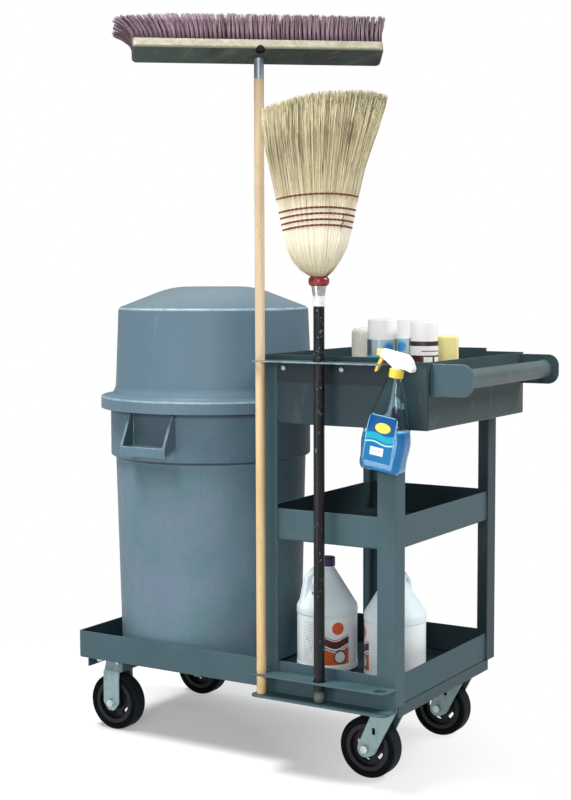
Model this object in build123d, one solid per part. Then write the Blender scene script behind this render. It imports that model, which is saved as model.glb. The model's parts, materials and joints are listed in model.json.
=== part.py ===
"""Janitor's cart: a welded steel cart on casters with its waste barrel, brooms and supplies.

Millimetres. +Z is up, +X points to the push handle, -Y to the side with the tool brackets.
The origin is on the floor, at the bottom centre of the whole cart's bounding box.
"""

from build123d import *
import math
import os

os.makedirs("parts", exist_ok=True)

# Welded frame
frame_depth = 610.0
cabinet_length = 395.0
leg_width = 51.0
leg_thickness = 5.0
sheet_thickness = 3.0
bend_radius = 5.0
corner_radius = 6.0
caster_height = 212.0
bolster_height = 30.5
bolster_width = 125.0
bolster_thickness = 4.0
bolster_setback = 11.0
bolster_end_setback = 26.0
deck_lip = 77.0
middle_tray_height = 613.0
middle_tray_lip = 82.0
top_tray_height = 916.0
top_tray_wall = 164.0
tray_overhang = 84.0
tray_rim_rise = 13.0
tray_end_rise = 4.0
tray_step_setback = 28.0

# Push handle
handle_reach = 110.0
handle_plate_height = 80.0
handle_plate_thickness = 6.0
handle_plate_inset = 20.0
handle_plate_round = 30.0
handle_tube_radius = 24.0
handle_tube_wall = 3.0
handle_tube_from_end = 43.0

# Tool brackets
bracket_depth = 62.0
bracket_thickness = 3.5
bracket_round = 22.0
bracket_proud = 5.0
upper_bracket_web = 57.0
lower_bracket_height = 208.0
lower_bracket_web = 60.0
tool_hole_radius = 17.0
tool_hole_spacing = 174.0
tool_hole_setback = 36.0
bracket_bolt_radius = 4.0
bracket_bolt_head_radius = 7.0
bracket_bolt_head = 4.5
bracket_bolt_nut = 6.0
bracket_bolt_drop = 20.0
bracket_bolt_pitch = 170.0
bracket_bolt_offset = -40.0
bolt_clearance = 0.2

# Casters
wheel_radius = 80.0
wheel_width = 50.0
tyre_depth = 18.2
tyre_round = 9.0
core_rim_width = 44.0
core_rim_depth = 12.0
core_web = 12.0
hub_radius = 24.0
hub_length = 57.4
kidney_count = 5
kidney_height = 9.0
kidney_angle = 26.0
kidney_start = -53.0
bush_radius = 10.0
axle_radius = 6.35
axle_head = 8.0
axle_head_radius = 11.0
running_clearance = 0.05
fork_gap = 58.0
fork_thickness = 5.0
fork_leg_width = 54.0
fork_end_radius = 22.0
fork_tip_width = 18.0
fork_heel_reach = 12.0
fork_heel_rise = 6.0
fork_root_width = 62.0
fork_slot_length = 19.0
fork_slot_width = 9.0
fork_slot_reach = 25.0
fork_slot_rise = 50.0
rigid_crown_width = 46.0
rigid_crown_depth = 48.0
rigid_crown_rise = 34.0
wheel_inset = 92.0
rigid_wheel_from_end = 71.0
swivel_from_end = 59.0
caster_trail = 58.0
caster_plate_length = 90.0
caster_plate_depth = 108.0
caster_plate_thickness = 6.0
caster_bolt_radius = 4.8
caster_bolt_head_radius = 8.5
caster_bolt_head = 6.5
caster_bolt_edge = 12.0
crown_radius = 40.0
crown_thickness = 6.0
race_inner_radius = 25.0
race_outer_radius = 37.0
race_thickness = 5.8
ball_radius = 3.0
ball_count = 14
ball_clearance = 0.1
kingpin_radius = 8.0
kingpin_head_radius = 14.0
kingpin_head = 7.0
seat_gap = 0.3

# Waste barrel and its lid
barrel_base_radius = 259.0
barrel_body_radius = 272.0
barrel_band_radius = 285.5
barrel_rim_radius = 302.0
barrel_wall = 5.0
barrel_floor_wall = 6.0
barrel_height = 732.0
barrel_band_height = 159.0
barrel_band_step = 8.0
barrel_rim_thickness = 10.0
barrel_end_gap = 7.0
barrel_front_gap = 16.0
grip_width = 148.0
grip_height = 112.0
grip_drop = 30.0
grip_top_reach = 14.0
grip_reach = 54.0
grip_bar = 26.0
grip_wall = 7.0
lid_flange_radius = 321.5
lid_flange_thickness = 8.0
lid_flange_rise = 6.0
lid_foot_radius = 289.0
lid_foot_height = 20.0
lid_skirt = 25.0
lid_wall = 5.0
lid_base_radius = 280.0
lid_shoulder_radius = 270.0
lid_side_height = 251.0
lid_crown_radius = 117.0
lid_crown_rise = 59.0
lid_crown_round = 240.0
lid_shoulder_round = 13.0
lid_leg_gap = 15.0
lid_shift = 11.5

# Push broom, head up
push_handle_radius = 12.5
push_handle_length = 1577.0
push_tip_length = 45.0
push_thread_radius = 9.0
push_thread_length = 17.0
push_head_turn = 38.65
push_head_tilt = 28.8
push_block_length = 630.0
push_block_width = 70.0
push_block_shift = 3.0
push_block_thickness = 23.0
push_block_round = 6.0
push_socket_offset = 16.5
push_spare_offset = 26.6
push_spare_radius = 12.0
push_slice = 3.0
push_bristle_length = 75.0
push_tuft_columns = 44
push_tuft_rows = 4
push_tuft_width = 8.4
push_tuft_margin = 9.0
push_left_flare = 44.0
push_right_flare = 8.0
push_side_flare = 9.0
thread_clearance = 0.1

# Corn broom, head up
corn_handle_radius = 14.0
corn_ferrule_height = 50.0
corn_ferrule_radius = 14.9
corn_ferrule_top_radius = 18.8
corn_collar_radius = 26.0
corn_collar_height = 24.0
corn_handle_length = 1057.0
corn_neck_radius = 22.0
corn_head_turn = 31.5
corn_bound_height = 193.0
corn_bound_width = 200.0
corn_bound_thickness = 60.0
corn_sweep_rise = 270.0
corn_sweep_left = 135.0
corn_sweep_right = 164.0
corn_sweep_thickness = 66.0
corn_columns = 41
corn_rows = 5
corn_edge = 8.0
corn_root = 12.0
corn_sweep_fall = 34.0
corn_sweep_peak = 0.35
sleeve_clearance = 0.02

# Spray bottle
spray_reach = 43.0
spray_tilt = 9.4
spray_neck_radius = 12.0
spray_bottle_width = 120.0
spray_bottle_depth = 60.0
spray_bottle_height = 231.0
spray_wall = 1.6
spray_collar_radius = 18.0
spray_collar_height = 22.0
spray_head_width = 24.0
spray_head_rise = 40.0
spray_socket_radius = 14.0
spray_chin_gap = 2.5
spray_chin_reach = 7.0
spray_throat_reach = 38.0
spray_throat_rise = 17.5
spray_nose = 46.0
spray_back = 46.0
spray_neck_rise = 1.5
spray_trigger_width = 11.0
spray_slot_clearance = 0.5
spray_nozzle_half = 8.5
spray_nozzle_length = 11.0
spray_nozzle_lift = 28.5
spray_nozzle_hole = 1.2
spray_stub_radius = 3.0
spray_stub_length = 4.5
trigger_pivot_reach = 34.0
trigger_pivot_lift = 20.5
trigger_pin_radius = 2.0
trigger_hub = 4.0
dip_tube_radius = 3.0
dip_tube_gap = 12.0

# Supplies
jug_radius = 84.0
jug_shoulder_height = 175.0
jug_shoulder_round = 22.0
jug_neck_height = 280.0
jug_height = 307.0
jug_neck_radius = 19.0
jug_cap_radius = 22.2
jug_cap_height = 24.0
jug_cap_wall = 2.6
jug_cap_clearance = 0.4
jug_grip_width = 26.0
jug_grip_depth = 19.0
jug_grip_top_reach = 40.0
jug_grip_reach = 65.0
jug_grip_drop = 24.0
jug_grip_heel = 75.0
jug_grip_heel_rise = 32.0
jug_grip_round = 6.0
jug_pocket_width = 96.0
jug_pocket_root = 24.0
jug_panel_low = 20.0
jug_panel_high = 157.0
jug_panel_depth = 1.5
jug_panel_edge = 2.5
canister_radius = 40.0
canister_height = 212.0
canister_cap_height = 51.0
jar_radius = 37.0
jar_height = 208.0
jar_cap_height = 50.0
cap_wall = 2.0
can_shoulder = 2.0
roll_radius = 47.0
roll_core_radius = 19.0
roll_height = 236.0
roll_round = 10.0
sponge_width = 62.0
sponge_thickness = 42.0
sponge_height = 220.0
sponge_round = 7.0
sponge_turn = 20.0
item_gap = 21.0
jug_left_inset = 47.5
jug_left_depth = 265.0
jug_right_depth = 269.0
jug_lip_gap = 47.5
jug_left_turn = 20.0
jug_right_turn = -55.0
canister_inset = 260.0
canister_depth = 185.0
canister_shift = -5.0
jar_gap = 32.0
jar_shift = 21.0
roll_gap = 18.5
roll_shift = 10.0
sponge_shift = 22.0

# Lengths and places that follow from the sizes above
barrel_setback = sheet_thickness + barrel_end_gap + barrel_base_radius
deck_length = barrel_setback + lid_shift + lid_flange_radius + lid_leg_gap + cabinet_length
handle_end = deck_length + tray_overhang + handle_reach
deck_left_x = -(handle_end + barrel_setback + lid_shift - lid_flange_radius) / 2
cabinet_right_x = deck_left_x + deck_length
cabinet_left_x = cabinet_right_x - cabinet_length
cabinet_middle_x = (cabinet_left_x + cabinet_right_x) / 2

barrel_depth = leg_thickness + sheet_thickness + barrel_front_gap + barrel_base_radius
grip_root = math.sqrt(barrel_band_radius**2 - (grip_width / 2) ** 2)
rear_reach = max(frame_depth, barrel_depth + grip_root + grip_reach)
turn = math.radians(push_head_turn)
tilt = math.radians(push_head_tilt)
push_front_reach = (
    tool_hole_setback
    + (push_block_length / 2 + push_block_shift) * math.sin(turn)
    + (push_socket_offset + push_block_width / 2) * math.cos(tilt) * math.cos(turn)
)
front_y = (push_front_reach - rear_reach) / 2
rear_y = front_y + frame_depth
tray_front_y = front_y + leg_thickness
tray_rear_y = rear_y - leg_thickness

deck_z = caster_height + bolster_thickness
deck_floor_z = deck_z + sheet_thickness
top_floor_z = top_tray_height + sheet_thickness
top_rim_z = top_tray_height + top_tray_wall
tray_right_x = cabinet_right_x + tray_overhang
bracket_right_x = cabinet_right_x + bracket_proud
tool_y = front_y - tool_hole_setback
tool_x = [cabinet_middle_x + step * tool_hole_spacing for step in (-1, 0, 1)]
tool_floor_z = lower_bracket_height + bracket_thickness
handle_tube_x = tray_right_x + handle_reach - handle_tube_from_end
handle_tube_z = top_rim_z - handle_plate_height / 2

barrel_x = deck_left_x + barrel_setback
barrel_y = front_y + barrel_depth
barrel_rim_z = deck_floor_z + barrel_height

wheel_rows = {"front": front_y + wheel_inset, "rear": rear_y - wheel_inset}
rigid_x = deck_left_x + rigid_wheel_from_end
swivel_x = cabinet_right_x - swivel_from_end
swivel_wheel_x = swivel_x - caster_trail
plate_z = caster_height - caster_plate_thickness
race_z = plate_z - race_thickness
crown_z = race_z - 2 * (ball_radius + ball_clearance)
core_radius = wheel_radius - tyre_depth

push_entry_z = tool_floor_z + push_handle_length + push_tip_length
corn_head_z = tool_floor_z + corn_handle_length + corn_collar_height
spray_neck_x = tool_x[2] + spray_reach
spray_corner = spray_neck_x - bracket_right_x
spray_sin = math.sin(math.radians(spray_tilt))
spray_cos = math.cos(math.radians(spray_tilt))
spray_slope = spray_throat_rise / (spray_throat_reach - spray_chin_reach)
spray_chin_z = spray_collar_height / 2 + spray_chin_gap
spray_rest = spray_chin_z + spray_slope * (spray_corner * spray_cos - spray_chin_reach)
spray_drop = (spray_rest + spray_corner * spray_sin - seat_gap) / (spray_cos - spray_slope * spray_sin)
trigger_pivot = (-trigger_pivot_reach, spray_chin_z + trigger_pivot_lift)
spray_nozzle_z = spray_chin_z + spray_nozzle_lift

jug_places = {
    "left": (
        cabinet_left_x + jug_left_inset,
        front_y + jug_left_depth,
        180.0 + corn_head_turn + jug_left_turn,
    ),
    "right": (
        cabinet_right_x - leg_thickness - sheet_thickness - jug_radius - jug_lip_gap,
        front_y + jug_right_depth,
        corn_head_turn - jug_right_turn,
    ),
}
canister_front = (cabinet_left_x + canister_inset, front_y + canister_depth)
canister_rear = (canister_front[0] - canister_shift, canister_front[1] + 2 * canister_radius + item_gap)
jar_place = (canister_front[0] + canister_radius + jar_radius + jar_gap, canister_front[1] + jar_shift)
roll_place = (canister_rear[0] - canister_radius - roll_radius - roll_gap, canister_rear[1] + roll_shift)
sponge_place = (jar_place[0] + sponge_shift, jar_place[1] + jar_radius + item_gap + sponge_width / 2)


def brick(x0, x1, y0, y1, z0, z1):
    """Box between two corners."""
    centre = Pos((x0 + x1) / 2, (y0 + y1) / 2, (z0 + z1) / 2)
    return centre * Box(abs(x1 - x0), abs(y1 - y0), z1 - z0)


def rod(x, y, z0, z1, radius):
    """Upright cylinder."""
    return Pos(x, y, (z0 + z1) / 2) * Cylinder(radius, z1 - z0)


def cross_rod(x, z, y0, y1, radius):
    """Cylinder along Y."""
    return Pos(x, (y0 + y1) / 2, z) * Rot(90, 0, 0) * Cylinder(radius, y1 - y0)


def hexagon(radius, height):
    """Upright hexagonal prism on the XY plane."""
    return extrude(RegularPolygon(radius, 6), height)


def turned(points, radii):
    """Solid of revolution about Z from an outline of (radius, height) points."""
    outline = FilletPolyline(*[(r, 0, z) for r, z in points], radius=radii, close=True)
    return revolve(make_face(outline), Axis.Z)


def profile_plate(points, radii, thickness):
    """Plate in the XZ plane, centred on y = 0, from an outline of (x, z) points."""
    outline = FilletPolyline(*[(x, 0, z) for x, z in points], radius=radii, close=True)
    return extrude(make_face(outline), thickness / 2, dir=(0, 1, 0), both=True)


def strand(base, top, base_half, top_half):
    """Four-sided strand from a base rectangle to a top rectangle in the XY plane."""
    corners = ((-1, -1), (1, -1), (1, 1), (-1, 1))
    low = [Vector(base[0] + i * base_half[0], base[1] + j * base_half[1], base[2]) for i, j in corners]
    high = [Vector(top[0] + i * top_half[0], top[1] + j * top_half[1], top[2]) for i, j in corners]
    sides = [(low[k], low[(k + 1) % 4], high[(k + 1) % 4], high[k]) for k in range(4)]
    faces = [Face(Wire.make_polygon(loop)) for loop in [tuple(low), tuple(high), *sides]]
    return Solid(Shell(faces))


def folded_tray(x0, x1, y0, y1, z0, height):
    """Tray folded from one sheet, with upturned walls all round."""
    t = sheet_thickness
    outer = brick(x0, x1, y0, y1, z0, z0 + height)
    outer = fillet(outer.edges().filter_by(Axis.Z), corner_radius)
    outer = fillet(outer.edges().group_by(Axis.Z)[0], bend_radius)
    inner = brick(x0 + t, x1 - t, y0 + t, y1 - t, z0 + t, z0 + 2 * height)
    inner = fillet(inner.edges().filter_by(Axis.Z), corner_radius - t)
    inner = fillet(inner.edges().group_by(Axis.Z)[0], bend_radius - t)
    return outer - inner


def caster_bolt_spots(x, y):
    """Places of the four bolts of the caster whose plate is centred on (x, y)."""
    dx = caster_plate_length / 2 - caster_bolt_edge
    dy = caster_plate_depth / 2 - caster_bolt_edge
    return [(x + i * dx, y + j * dy) for i in (-1, 1) for j in (-1, 1)]


caster_places = [(x, y) for x in (rigid_x, swivel_x) for y in wheel_rows.values()]
bolt_spots = [spot for place in caster_places for spot in caster_bolt_spots(*place)]
bracket_bolt_middle = cabinet_middle_x + bracket_bolt_offset
bracket_bolt_x = [bracket_bolt_middle + step * bracket_bolt_pitch / 2 for step in (-1, 1)]
bracket_bolt_z = top_rim_z - bracket_bolt_drop


def drilled_for_casters(solid):
    """Solid with the caster bolt holes through it."""
    for x, y in bolt_spots:
        solid -= rod(x, y, 0, deck_z, caster_bolt_radius + bolt_clearance)
    return solid


def make_deck_tray():
    return folded_tray(
        deck_left_x, cabinet_right_x - leg_thickness, tray_front_y, tray_rear_y, deck_z, deck_lip
    )


def make_middle_tray():
    return folded_tray(
        cabinet_left_x + leg_thickness,
        cabinet_right_x - leg_thickness,
        tray_front_y,
        tray_rear_y,
        middle_tray_height,
        middle_tray_lip,
    )


def make_top_tray():
    """Deep tray whose rim steps down at its right end."""
    tray = folded_tray(
        cabinet_left_x + leg_thickness,
        tray_right_x,
        tray_front_y,
        tray_rear_y,
        top_tray_height,
        top_tray_wall + tray_rim_rise,
    )
    tray -= brick(
        cabinet_right_x - tray_step_setback,
        tray_right_x + sheet_thickness,
        tray_front_y - sheet_thickness,
        tray_rear_y + sheet_thickness,
        top_rim_z + tray_end_rise,
        top_rim_z + 2 * tray_rim_rise,
    )
    for x in bracket_bolt_x:
        tray -= cross_rod(
            x,
            bracket_bolt_z,
            tray_front_y - sheet_thickness,
            tray_front_y + 2 * sheet_thickness,
            bracket_bolt_radius + bolt_clearance,
        )
    return tray


def make_bolster(x0, x1):
    """Channel under the deck, its web against the deck, with the casters bolted up into it."""
    t = bolster_thickness
    front, rear = tray_front_y + bolster_end_setback, tray_rear_y - bolster_end_setback
    low = deck_z - bolster_height
    channel = brick(x0, x1, front, rear, low, deck_z)
    channel -= brick(x0 + t, x1 - t, front - t, rear + t, low - t, caster_height)
    return drilled_for_casters(channel)


def make_leg(x_side, y_side, deck_tray):
    """Angle leg: x_side is -1 at the left, y_side is -1 at the front."""
    x = cabinet_left_x if x_side < 0 else cabinet_right_x
    y = front_y if y_side < 0 else rear_y
    x_in = x - x_side * leg_width
    y_in = y - y_side * leg_width
    x_skin = x - x_side * leg_thickness
    y_skin = y - y_side * leg_thickness
    x0, x1 = sorted((x, x_in))
    y0, y1 = sorted((y, y_in))
    if x_side > 0:
        face = brick(x0, x1, *sorted((y, y_skin)), deck_z, top_tray_height)
        return face + brick(*sorted((x, x_skin)), y0, y1, deck_z, top_tray_height)
    face = brick(x0, x1, *sorted((y, y_skin)), deck_z, top_rim_z)
    side = brick(*sorted((x, x_skin)), *sorted((y_skin, y_in)), deck_floor_z, top_rim_z)
    return face + (side - deck_tray)


def make_handle_plate(y_side):
    """Push-handle plate on the tray's right wall, with its two outer corners rounded."""
    y = tray_front_y + handle_plate_inset if y_side < 0 else tray_rear_y - handle_plate_inset
    y_inner = y - y_side * handle_plate_thickness
    plate = brick(
        tray_right_x,
        tray_right_x + handle_reach,
        *sorted((y, y_inner)),
        top_rim_z - handle_plate_height,
        top_rim_z,
    )
    outer = plate.edges().filter_by(Axis.Y).group_by(Axis.X)[-1]
    return fillet(outer, handle_plate_round)


def make_handle_tube():
    inset = handle_plate_inset + handle_plate_thickness
    y0, y1 = tray_front_y + inset, tray_rear_y - inset
    tube = cross_rod(handle_tube_x, handle_tube_z, y0, y1, handle_tube_radius)
    return tube - cross_rod(handle_tube_x, handle_tube_z, y0, y1, handle_tube_radius - handle_tube_wall)


def bracket_shelf(z0):
    """Flat bracket flange with rounded front corners, from the legs' face forwards."""
    shelf = brick(
        cabinet_left_x, bracket_right_x, front_y - bracket_depth, front_y, z0, z0 + bracket_thickness
    )
    corners = shelf.edges().filter_by(Axis.Z).group_by(Axis.Y)[0]
    return fillet(corners, bracket_round)


def tool_holes(z0):
    """The three tool holes through a bracket flange."""
    low, high = z0 - bracket_thickness, z0 + 2 * bracket_thickness
    return [rod(x, tool_y, low, high, tool_hole_radius) for x in tool_x]


def make_upper_bracket():
    shelf_z = top_rim_z - bracket_thickness
    web = brick(
        cabinet_left_x + leg_width,
        bracket_right_x,
        front_y,
        tray_front_y,
        top_rim_z - upper_bracket_web,
        top_rim_z,
    )
    for x in bracket_bolt_x:
        web -= cross_rod(
            x,
            bracket_bolt_z,
            front_y - leg_thickness,
            tray_front_y + leg_thickness,
            bracket_bolt_radius + bolt_clearance,
        )
    return bracket_shelf(shelf_z) - tool_holes(shelf_z) + web


def make_lower_bracket():
    top = lower_bracket_height + lower_bracket_web
    shelf_z = top - bracket_thickness
    web = brick(
        cabinet_left_x, bracket_right_x, front_y - bracket_thickness, front_y, lower_bracket_height, top
    )
    return bracket_shelf(shelf_z) - tool_holes(shelf_z) + web + bracket_shelf(lower_bracket_height)


def make_bracket_bolts():
    """Round-headed bolts through the upper bracket and the tray wall, each with its nut."""
    pieces = []
    inside_y = tray_front_y + sheet_thickness
    for x in bracket_bolt_x:
        place = Pos(x, front_y, bracket_bolt_z) * Rot(90, 0, 0)
        head = extrude(Circle(bracket_bolt_head_radius), bracket_bolt_head)
        head = fillet(head.edges().group_by(Axis.Z)[-1], bracket_bolt_head / 2)
        end_y = inside_y + bracket_bolt_nut + 2 * bolt_clearance
        shank = cross_rod(x, bracket_bolt_z, front_y, end_y, bracket_bolt_radius)
        nut = hexagon(bracket_bolt_head_radius, bracket_bolt_nut)
        nut -= Cylinder(bracket_bolt_radius + bolt_clearance, 2 * bracket_bolt_nut + 1)
        pieces.append(place * head + shank)
        pieces.append(Pos(x, inside_y + bracket_bolt_nut, bracket_bolt_z) * Rot(90, 0, 0) * nut)
    return pieces


def make_caster_bolts():
    """Hexagon bolts through each caster plate into the web of its bolster."""
    pieces = []
    for x, y in bolt_spots:
        head = Pos(x, y, plate_z - caster_bolt_head) * hexagon(caster_bolt_head_radius, caster_bolt_head)
        pieces.append(head + rod(x, y, plate_z, deck_z - bolt_clearance, caster_bolt_radius))
    return pieces


def caster_plate(x, y):
    """Flat caster top plate."""
    plate = Pos(x, y, plate_z) * extrude(
        RectangleRounded(caster_plate_length, caster_plate_depth, corner_radius), caster_plate_thickness
    )
    return drilled_for_casters(plate)


def fork_legs(outline, x, y):
    """Both legs of a fork from one XZ outline, bored for the axle at (x, wheel centre)."""
    leg = extrude(Plane.XZ * outline, fork_thickness / 2, both=True)
    offset = (fork_gap + fork_thickness) / 2
    legs = [Pos(0, y + side * offset, 0) * leg for side in (-1, 1)]
    bore = cross_rod(x, wheel_radius, y - fork_gap, y + fork_gap, axle_radius + running_clearance)
    return [piece - bore for piece in legs]


def make_rigid_fork(y):
    """Rigid fork: top plate, crown that slopes outwards and two upright legs with tapered ends."""
    half, tip = fork_leg_width / 2, fork_tip_width / 2
    low = wheel_radius - fork_end_radius
    bend_z = plate_z - rigid_crown_rise
    points = [
        (rigid_x - half, bend_z),
        (rigid_x + half, bend_z),
        (rigid_x + half, wheel_radius),
        (rigid_x + tip, low),
        (rigid_x - tip, low),
        (rigid_x - half, wheel_radius),
    ]
    rounds = [0, 0, tip / 2, tip / 2, tip / 2, tip / 2]
    outline = make_face(FilletPolyline(*points, radius=rounds, close=True))
    front, rear = fork_legs(outline, rigid_x, y)
    wide, narrow = fork_gap / 2 + fork_thickness, rigid_crown_depth / 2
    profile = [
        (-wide, bend_z - fork_thickness),
        (wide, bend_z - fork_thickness),
        (wide, bend_z),
        (narrow, plate_z),
        (-narrow, plate_z),
        (-wide, bend_z),
    ]
    section = Plane.YZ * make_face(Polyline(*profile, close=True))
    crown = Pos(rigid_x, y, 0) * extrude(section, rigid_crown_width / 2, both=True)
    return caster_plate(rigid_x, y) + crown + front + rear


def make_swivel_plate(y):
    """Top plate of a swivel caster with its upper ball race."""
    plate = caster_plate(swivel_x, y)
    race = rod(swivel_x, y, race_z, plate_z, race_outer_radius)
    race -= rod(swivel_x, y, race_z, plate_z, race_inner_radius)
    bore = rod(swivel_x, y, race_z, caster_height, kingpin_radius + sleeve_clearance)
    return plate + race - bore


def make_swivel_fork(y):
    """Swivel fork: crown with the lower ball race and two legs trailing to the axle."""
    low_z = crown_z - crown_thickness
    end = Pos(swivel_wheel_x, wheel_radius) * Circle(fork_end_radius)
    heel = Pos(swivel_wheel_x + fork_heel_reach, wheel_radius + fork_heel_rise) * Circle(fork_end_radius)
    root = Pos(swivel_x, low_z + crown_thickness / 2) * Rectangle(fork_root_width, crown_thickness)
    outline = make_hull(end.edges() + heel.edges() + root.edges())
    slot_spot = Pos(swivel_wheel_x + fork_slot_reach, wheel_radius + fork_slot_rise)
    outline -= slot_spot * Rot(0, 0, 90) * SlotOverall(fork_slot_length, fork_slot_width)
    front, rear = fork_legs(outline, swivel_wheel_x, y)
    depth = fork_gap / 2 + fork_thickness
    left_x, right_x = swivel_x - fork_root_width / 2, swivel_x + fork_root_width / 2
    crown = brick(left_x, right_x, y - depth, y + depth, low_z, crown_z)
    crown += rod(swivel_x, y, low_z, crown_z, crown_radius)
    crown -= rod(swivel_x, y, low_z, crown_z, kingpin_radius + running_clearance)
    return crown + front + rear


def make_kingpins():
    """Kingpin of each swivel caster, headed below the fork's crown."""
    pieces = []
    head_top = crown_z - crown_thickness - seat_gap
    for y in wheel_rows.values():
        head = rod(swivel_x, y, head_top - kingpin_head, head_top, kingpin_head_radius)
        pieces.append(head + rod(swivel_x, y, head_top, caster_height, kingpin_radius))
    return pieces


def make_swivel_balls():
    """Balls between the two races of each swivel caster."""
    pitch = (race_inner_radius + race_outer_radius) / 2
    height = crown_z + ball_clearance + ball_radius
    balls = []
    for y in wheel_rows.values():
        for k in range(ball_count):
            angle = 2 * math.pi * k / ball_count
            dx, dy = pitch * math.cos(angle), pitch * math.sin(angle)
            balls.append(Pos(swivel_x + dx, y + dy, height) * Sphere(ball_radius))
    return balls


def make_axle(x, y):
    """Axle bolt with its nut and the bush that the wheel runs on."""
    outside = fork_gap / 2 + fork_thickness
    place = Pos(x, y, wheel_radius) * Rot(90, 0, 0)
    bolt = Pos(0, 0, outside) * hexagon(axle_head_radius, axle_head)
    reach = 2 * outside + axle_head + 2 * running_clearance
    bolt += Pos(0, 0, outside - reach / 2) * Cylinder(axle_radius, reach)
    nut = Pos(0, 0, -outside - axle_head) * hexagon(axle_head_radius, axle_head)
    nut -= Cylinder(axle_radius + running_clearance, 4 * outside)
    bush = Cylinder(bush_radius - running_clearance, fork_gap - 2 * running_clearance)
    bush -= Cylinder(axle_radius + running_clearance, fork_gap)
    return [place * bolt, place * nut, place * bush]


def wheel_place(x, y):
    return Pos(x, y, wheel_radius) * Rot(90, 0, 0)


def make_tyre(x, y):
    """Rubber tyre moulded on the core, with rounded shoulders."""
    rim, half = core_rim_width / 2, wheel_width / 2
    slope = half - rim
    points = [
        (core_radius, -rim),
        (core_radius + slope, -half),
        (wheel_radius, -half),
        (wheel_radius, half),
        (core_radius + slope, half),
        (core_radius, rim),
    ]
    return wheel_place(x, y) * turned(points, [0, 0, tyre_round, tyre_round, 0, 0])


def make_core(x, y):
    """Cast wheel core: hub, web with kidney openings, rim."""
    inner_rim = core_radius - core_rim_depth
    hub, web, rim = hub_length / 2, core_web / 2, core_rim_width / 2
    points = [
        (bush_radius, -hub),
        (hub_radius, -hub),
        (hub_radius, -web),
        (inner_rim, -web),
        (inner_rim, -rim),
        (core_radius, -rim),
        (core_radius, rim),
        (inner_rim, rim),
        (inner_rim, web),
        (hub_radius, web),
        (hub_radius, hub),
        (bush_radius, hub),
    ]
    core = turned(points, 0)
    middle = (hub_radius + inner_rim) / 2
    for k in range(kidney_count):
        arc = CenterArc((0, 0), middle, kidney_start + 360 * k / kidney_count, kidney_angle)
        core -= extrude(SlotArc(arc, kidney_height), core_web, both=True)
    return wheel_place(x, y) * core


def barrel_outline(inset):
    """Right half of the barrel's outline, from the floor up, moved in by inset."""
    band_z = barrel_height - barrel_band_height
    return [
        (barrel_base_radius - inset, 0),
        (barrel_body_radius - inset, band_z - barrel_band_step),
        (barrel_band_radius - inset, band_z),
        (barrel_band_radius - inset, barrel_height - barrel_rim_thickness),
    ]


def make_grip(y_side):
    """Moulded grip: two raked cheeks on the band and a bar across their feet."""
    top = barrel_rim_z - grip_drop
    low = top - grip_height
    root = grip_root - barrel_wall / 2
    cheek_points = [
        (root, top),
        (grip_root + grip_top_reach, top),
        (grip_root + grip_reach, low + grip_bar),
        (grip_root + grip_reach, low),
        (root, low + grip_bar),
    ]
    outline = make_face(Polyline(*[(0, y_side * r, z) for r, z in cheek_points], close=True))
    cheek = extrude(outline, grip_wall / 2, dir=(1, 0, 0), both=True)
    offset = (grip_width - grip_wall) / 2
    bar_y = (y_side * (grip_root + grip_reach), y_side * (grip_root + grip_reach - grip_wall))
    bar = brick(-offset, offset, *sorted(bar_y), low, low + grip_bar)
    return [Pos(side * offset, 0, 0) * cheek for side in (-1, 1)] + [bar]


def make_barrel():
    """Tapered barrel with a stepped upper band, a flat rim and two grips."""
    outer = barrel_outline(0)
    inner = barrel_outline(barrel_wall)
    rim_low = barrel_height - barrel_rim_thickness
    points = [
        (0, 0),
        outer[0],
        outer[1],
        outer[2],
        outer[3],
        (barrel_rim_radius, rim_low),
        (barrel_rim_radius, barrel_height),
        (inner[3][0], barrel_height),
        inner[2],
        inner[1],
        (inner[0][0], barrel_floor_wall),
        (0, barrel_floor_wall),
    ]
    base_round = 2 * barrel_wall
    radii = [0, base_round, 3, 3, 4, 3, 3, 2, 3, 3, base_round / 2, 0]
    shell = Pos(0, 0, deck_floor_z) * turned(points, radii)
    for y_side in (-1, 1):
        shell = shell + make_grip(y_side)
    return Pos(barrel_x, barrel_y, 0) * shell


def make_lid():
    """Dome lid: skirt over the barrel's rim, flared foot, tapered side, cone and flat crown."""
    skirt_in = lid_flange_radius - lid_wall
    foot = lid_flange_thickness + lid_flange_rise
    side_top = lid_wall + lid_side_height
    crown_top = side_top + lid_crown_rise
    side_drop = lid_wall / 2
    points = [
        (skirt_in, -lid_skirt),
        (lid_flange_radius, -lid_skirt),
        (lid_flange_radius, lid_flange_thickness),
        (lid_foot_radius, foot),
        (lid_base_radius, foot + lid_foot_height),
        (lid_shoulder_radius, side_top),
        (lid_crown_radius, crown_top),
        (0, crown_top),
        (0, crown_top - lid_wall),
        (lid_crown_radius - lid_wall / 2, crown_top - lid_wall),
        (lid_shoulder_radius - lid_wall, side_top - side_drop),
        (lid_base_radius - lid_wall, 0),
        (skirt_in, 0),
    ]
    crown_in, shoulder_in = lid_crown_round - lid_wall, lid_shoulder_round - lid_wall
    radii = [0, 0, 5, 4, 30, lid_shoulder_round, lid_crown_round, 0, 0, crown_in, shoulder_in, 4, 0]
    return Pos(barrel_x + lid_shift, barrel_y, barrel_rim_z) * turned(points, radii)


def make_push_handle():
    handle = rod(tool_x[0], tool_y, tool_floor_z, tool_floor_z + push_handle_length, push_handle_radius)
    return fillet(handle.edges().group_by(Axis.Z)[0], push_handle_radius / 4)


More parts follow.
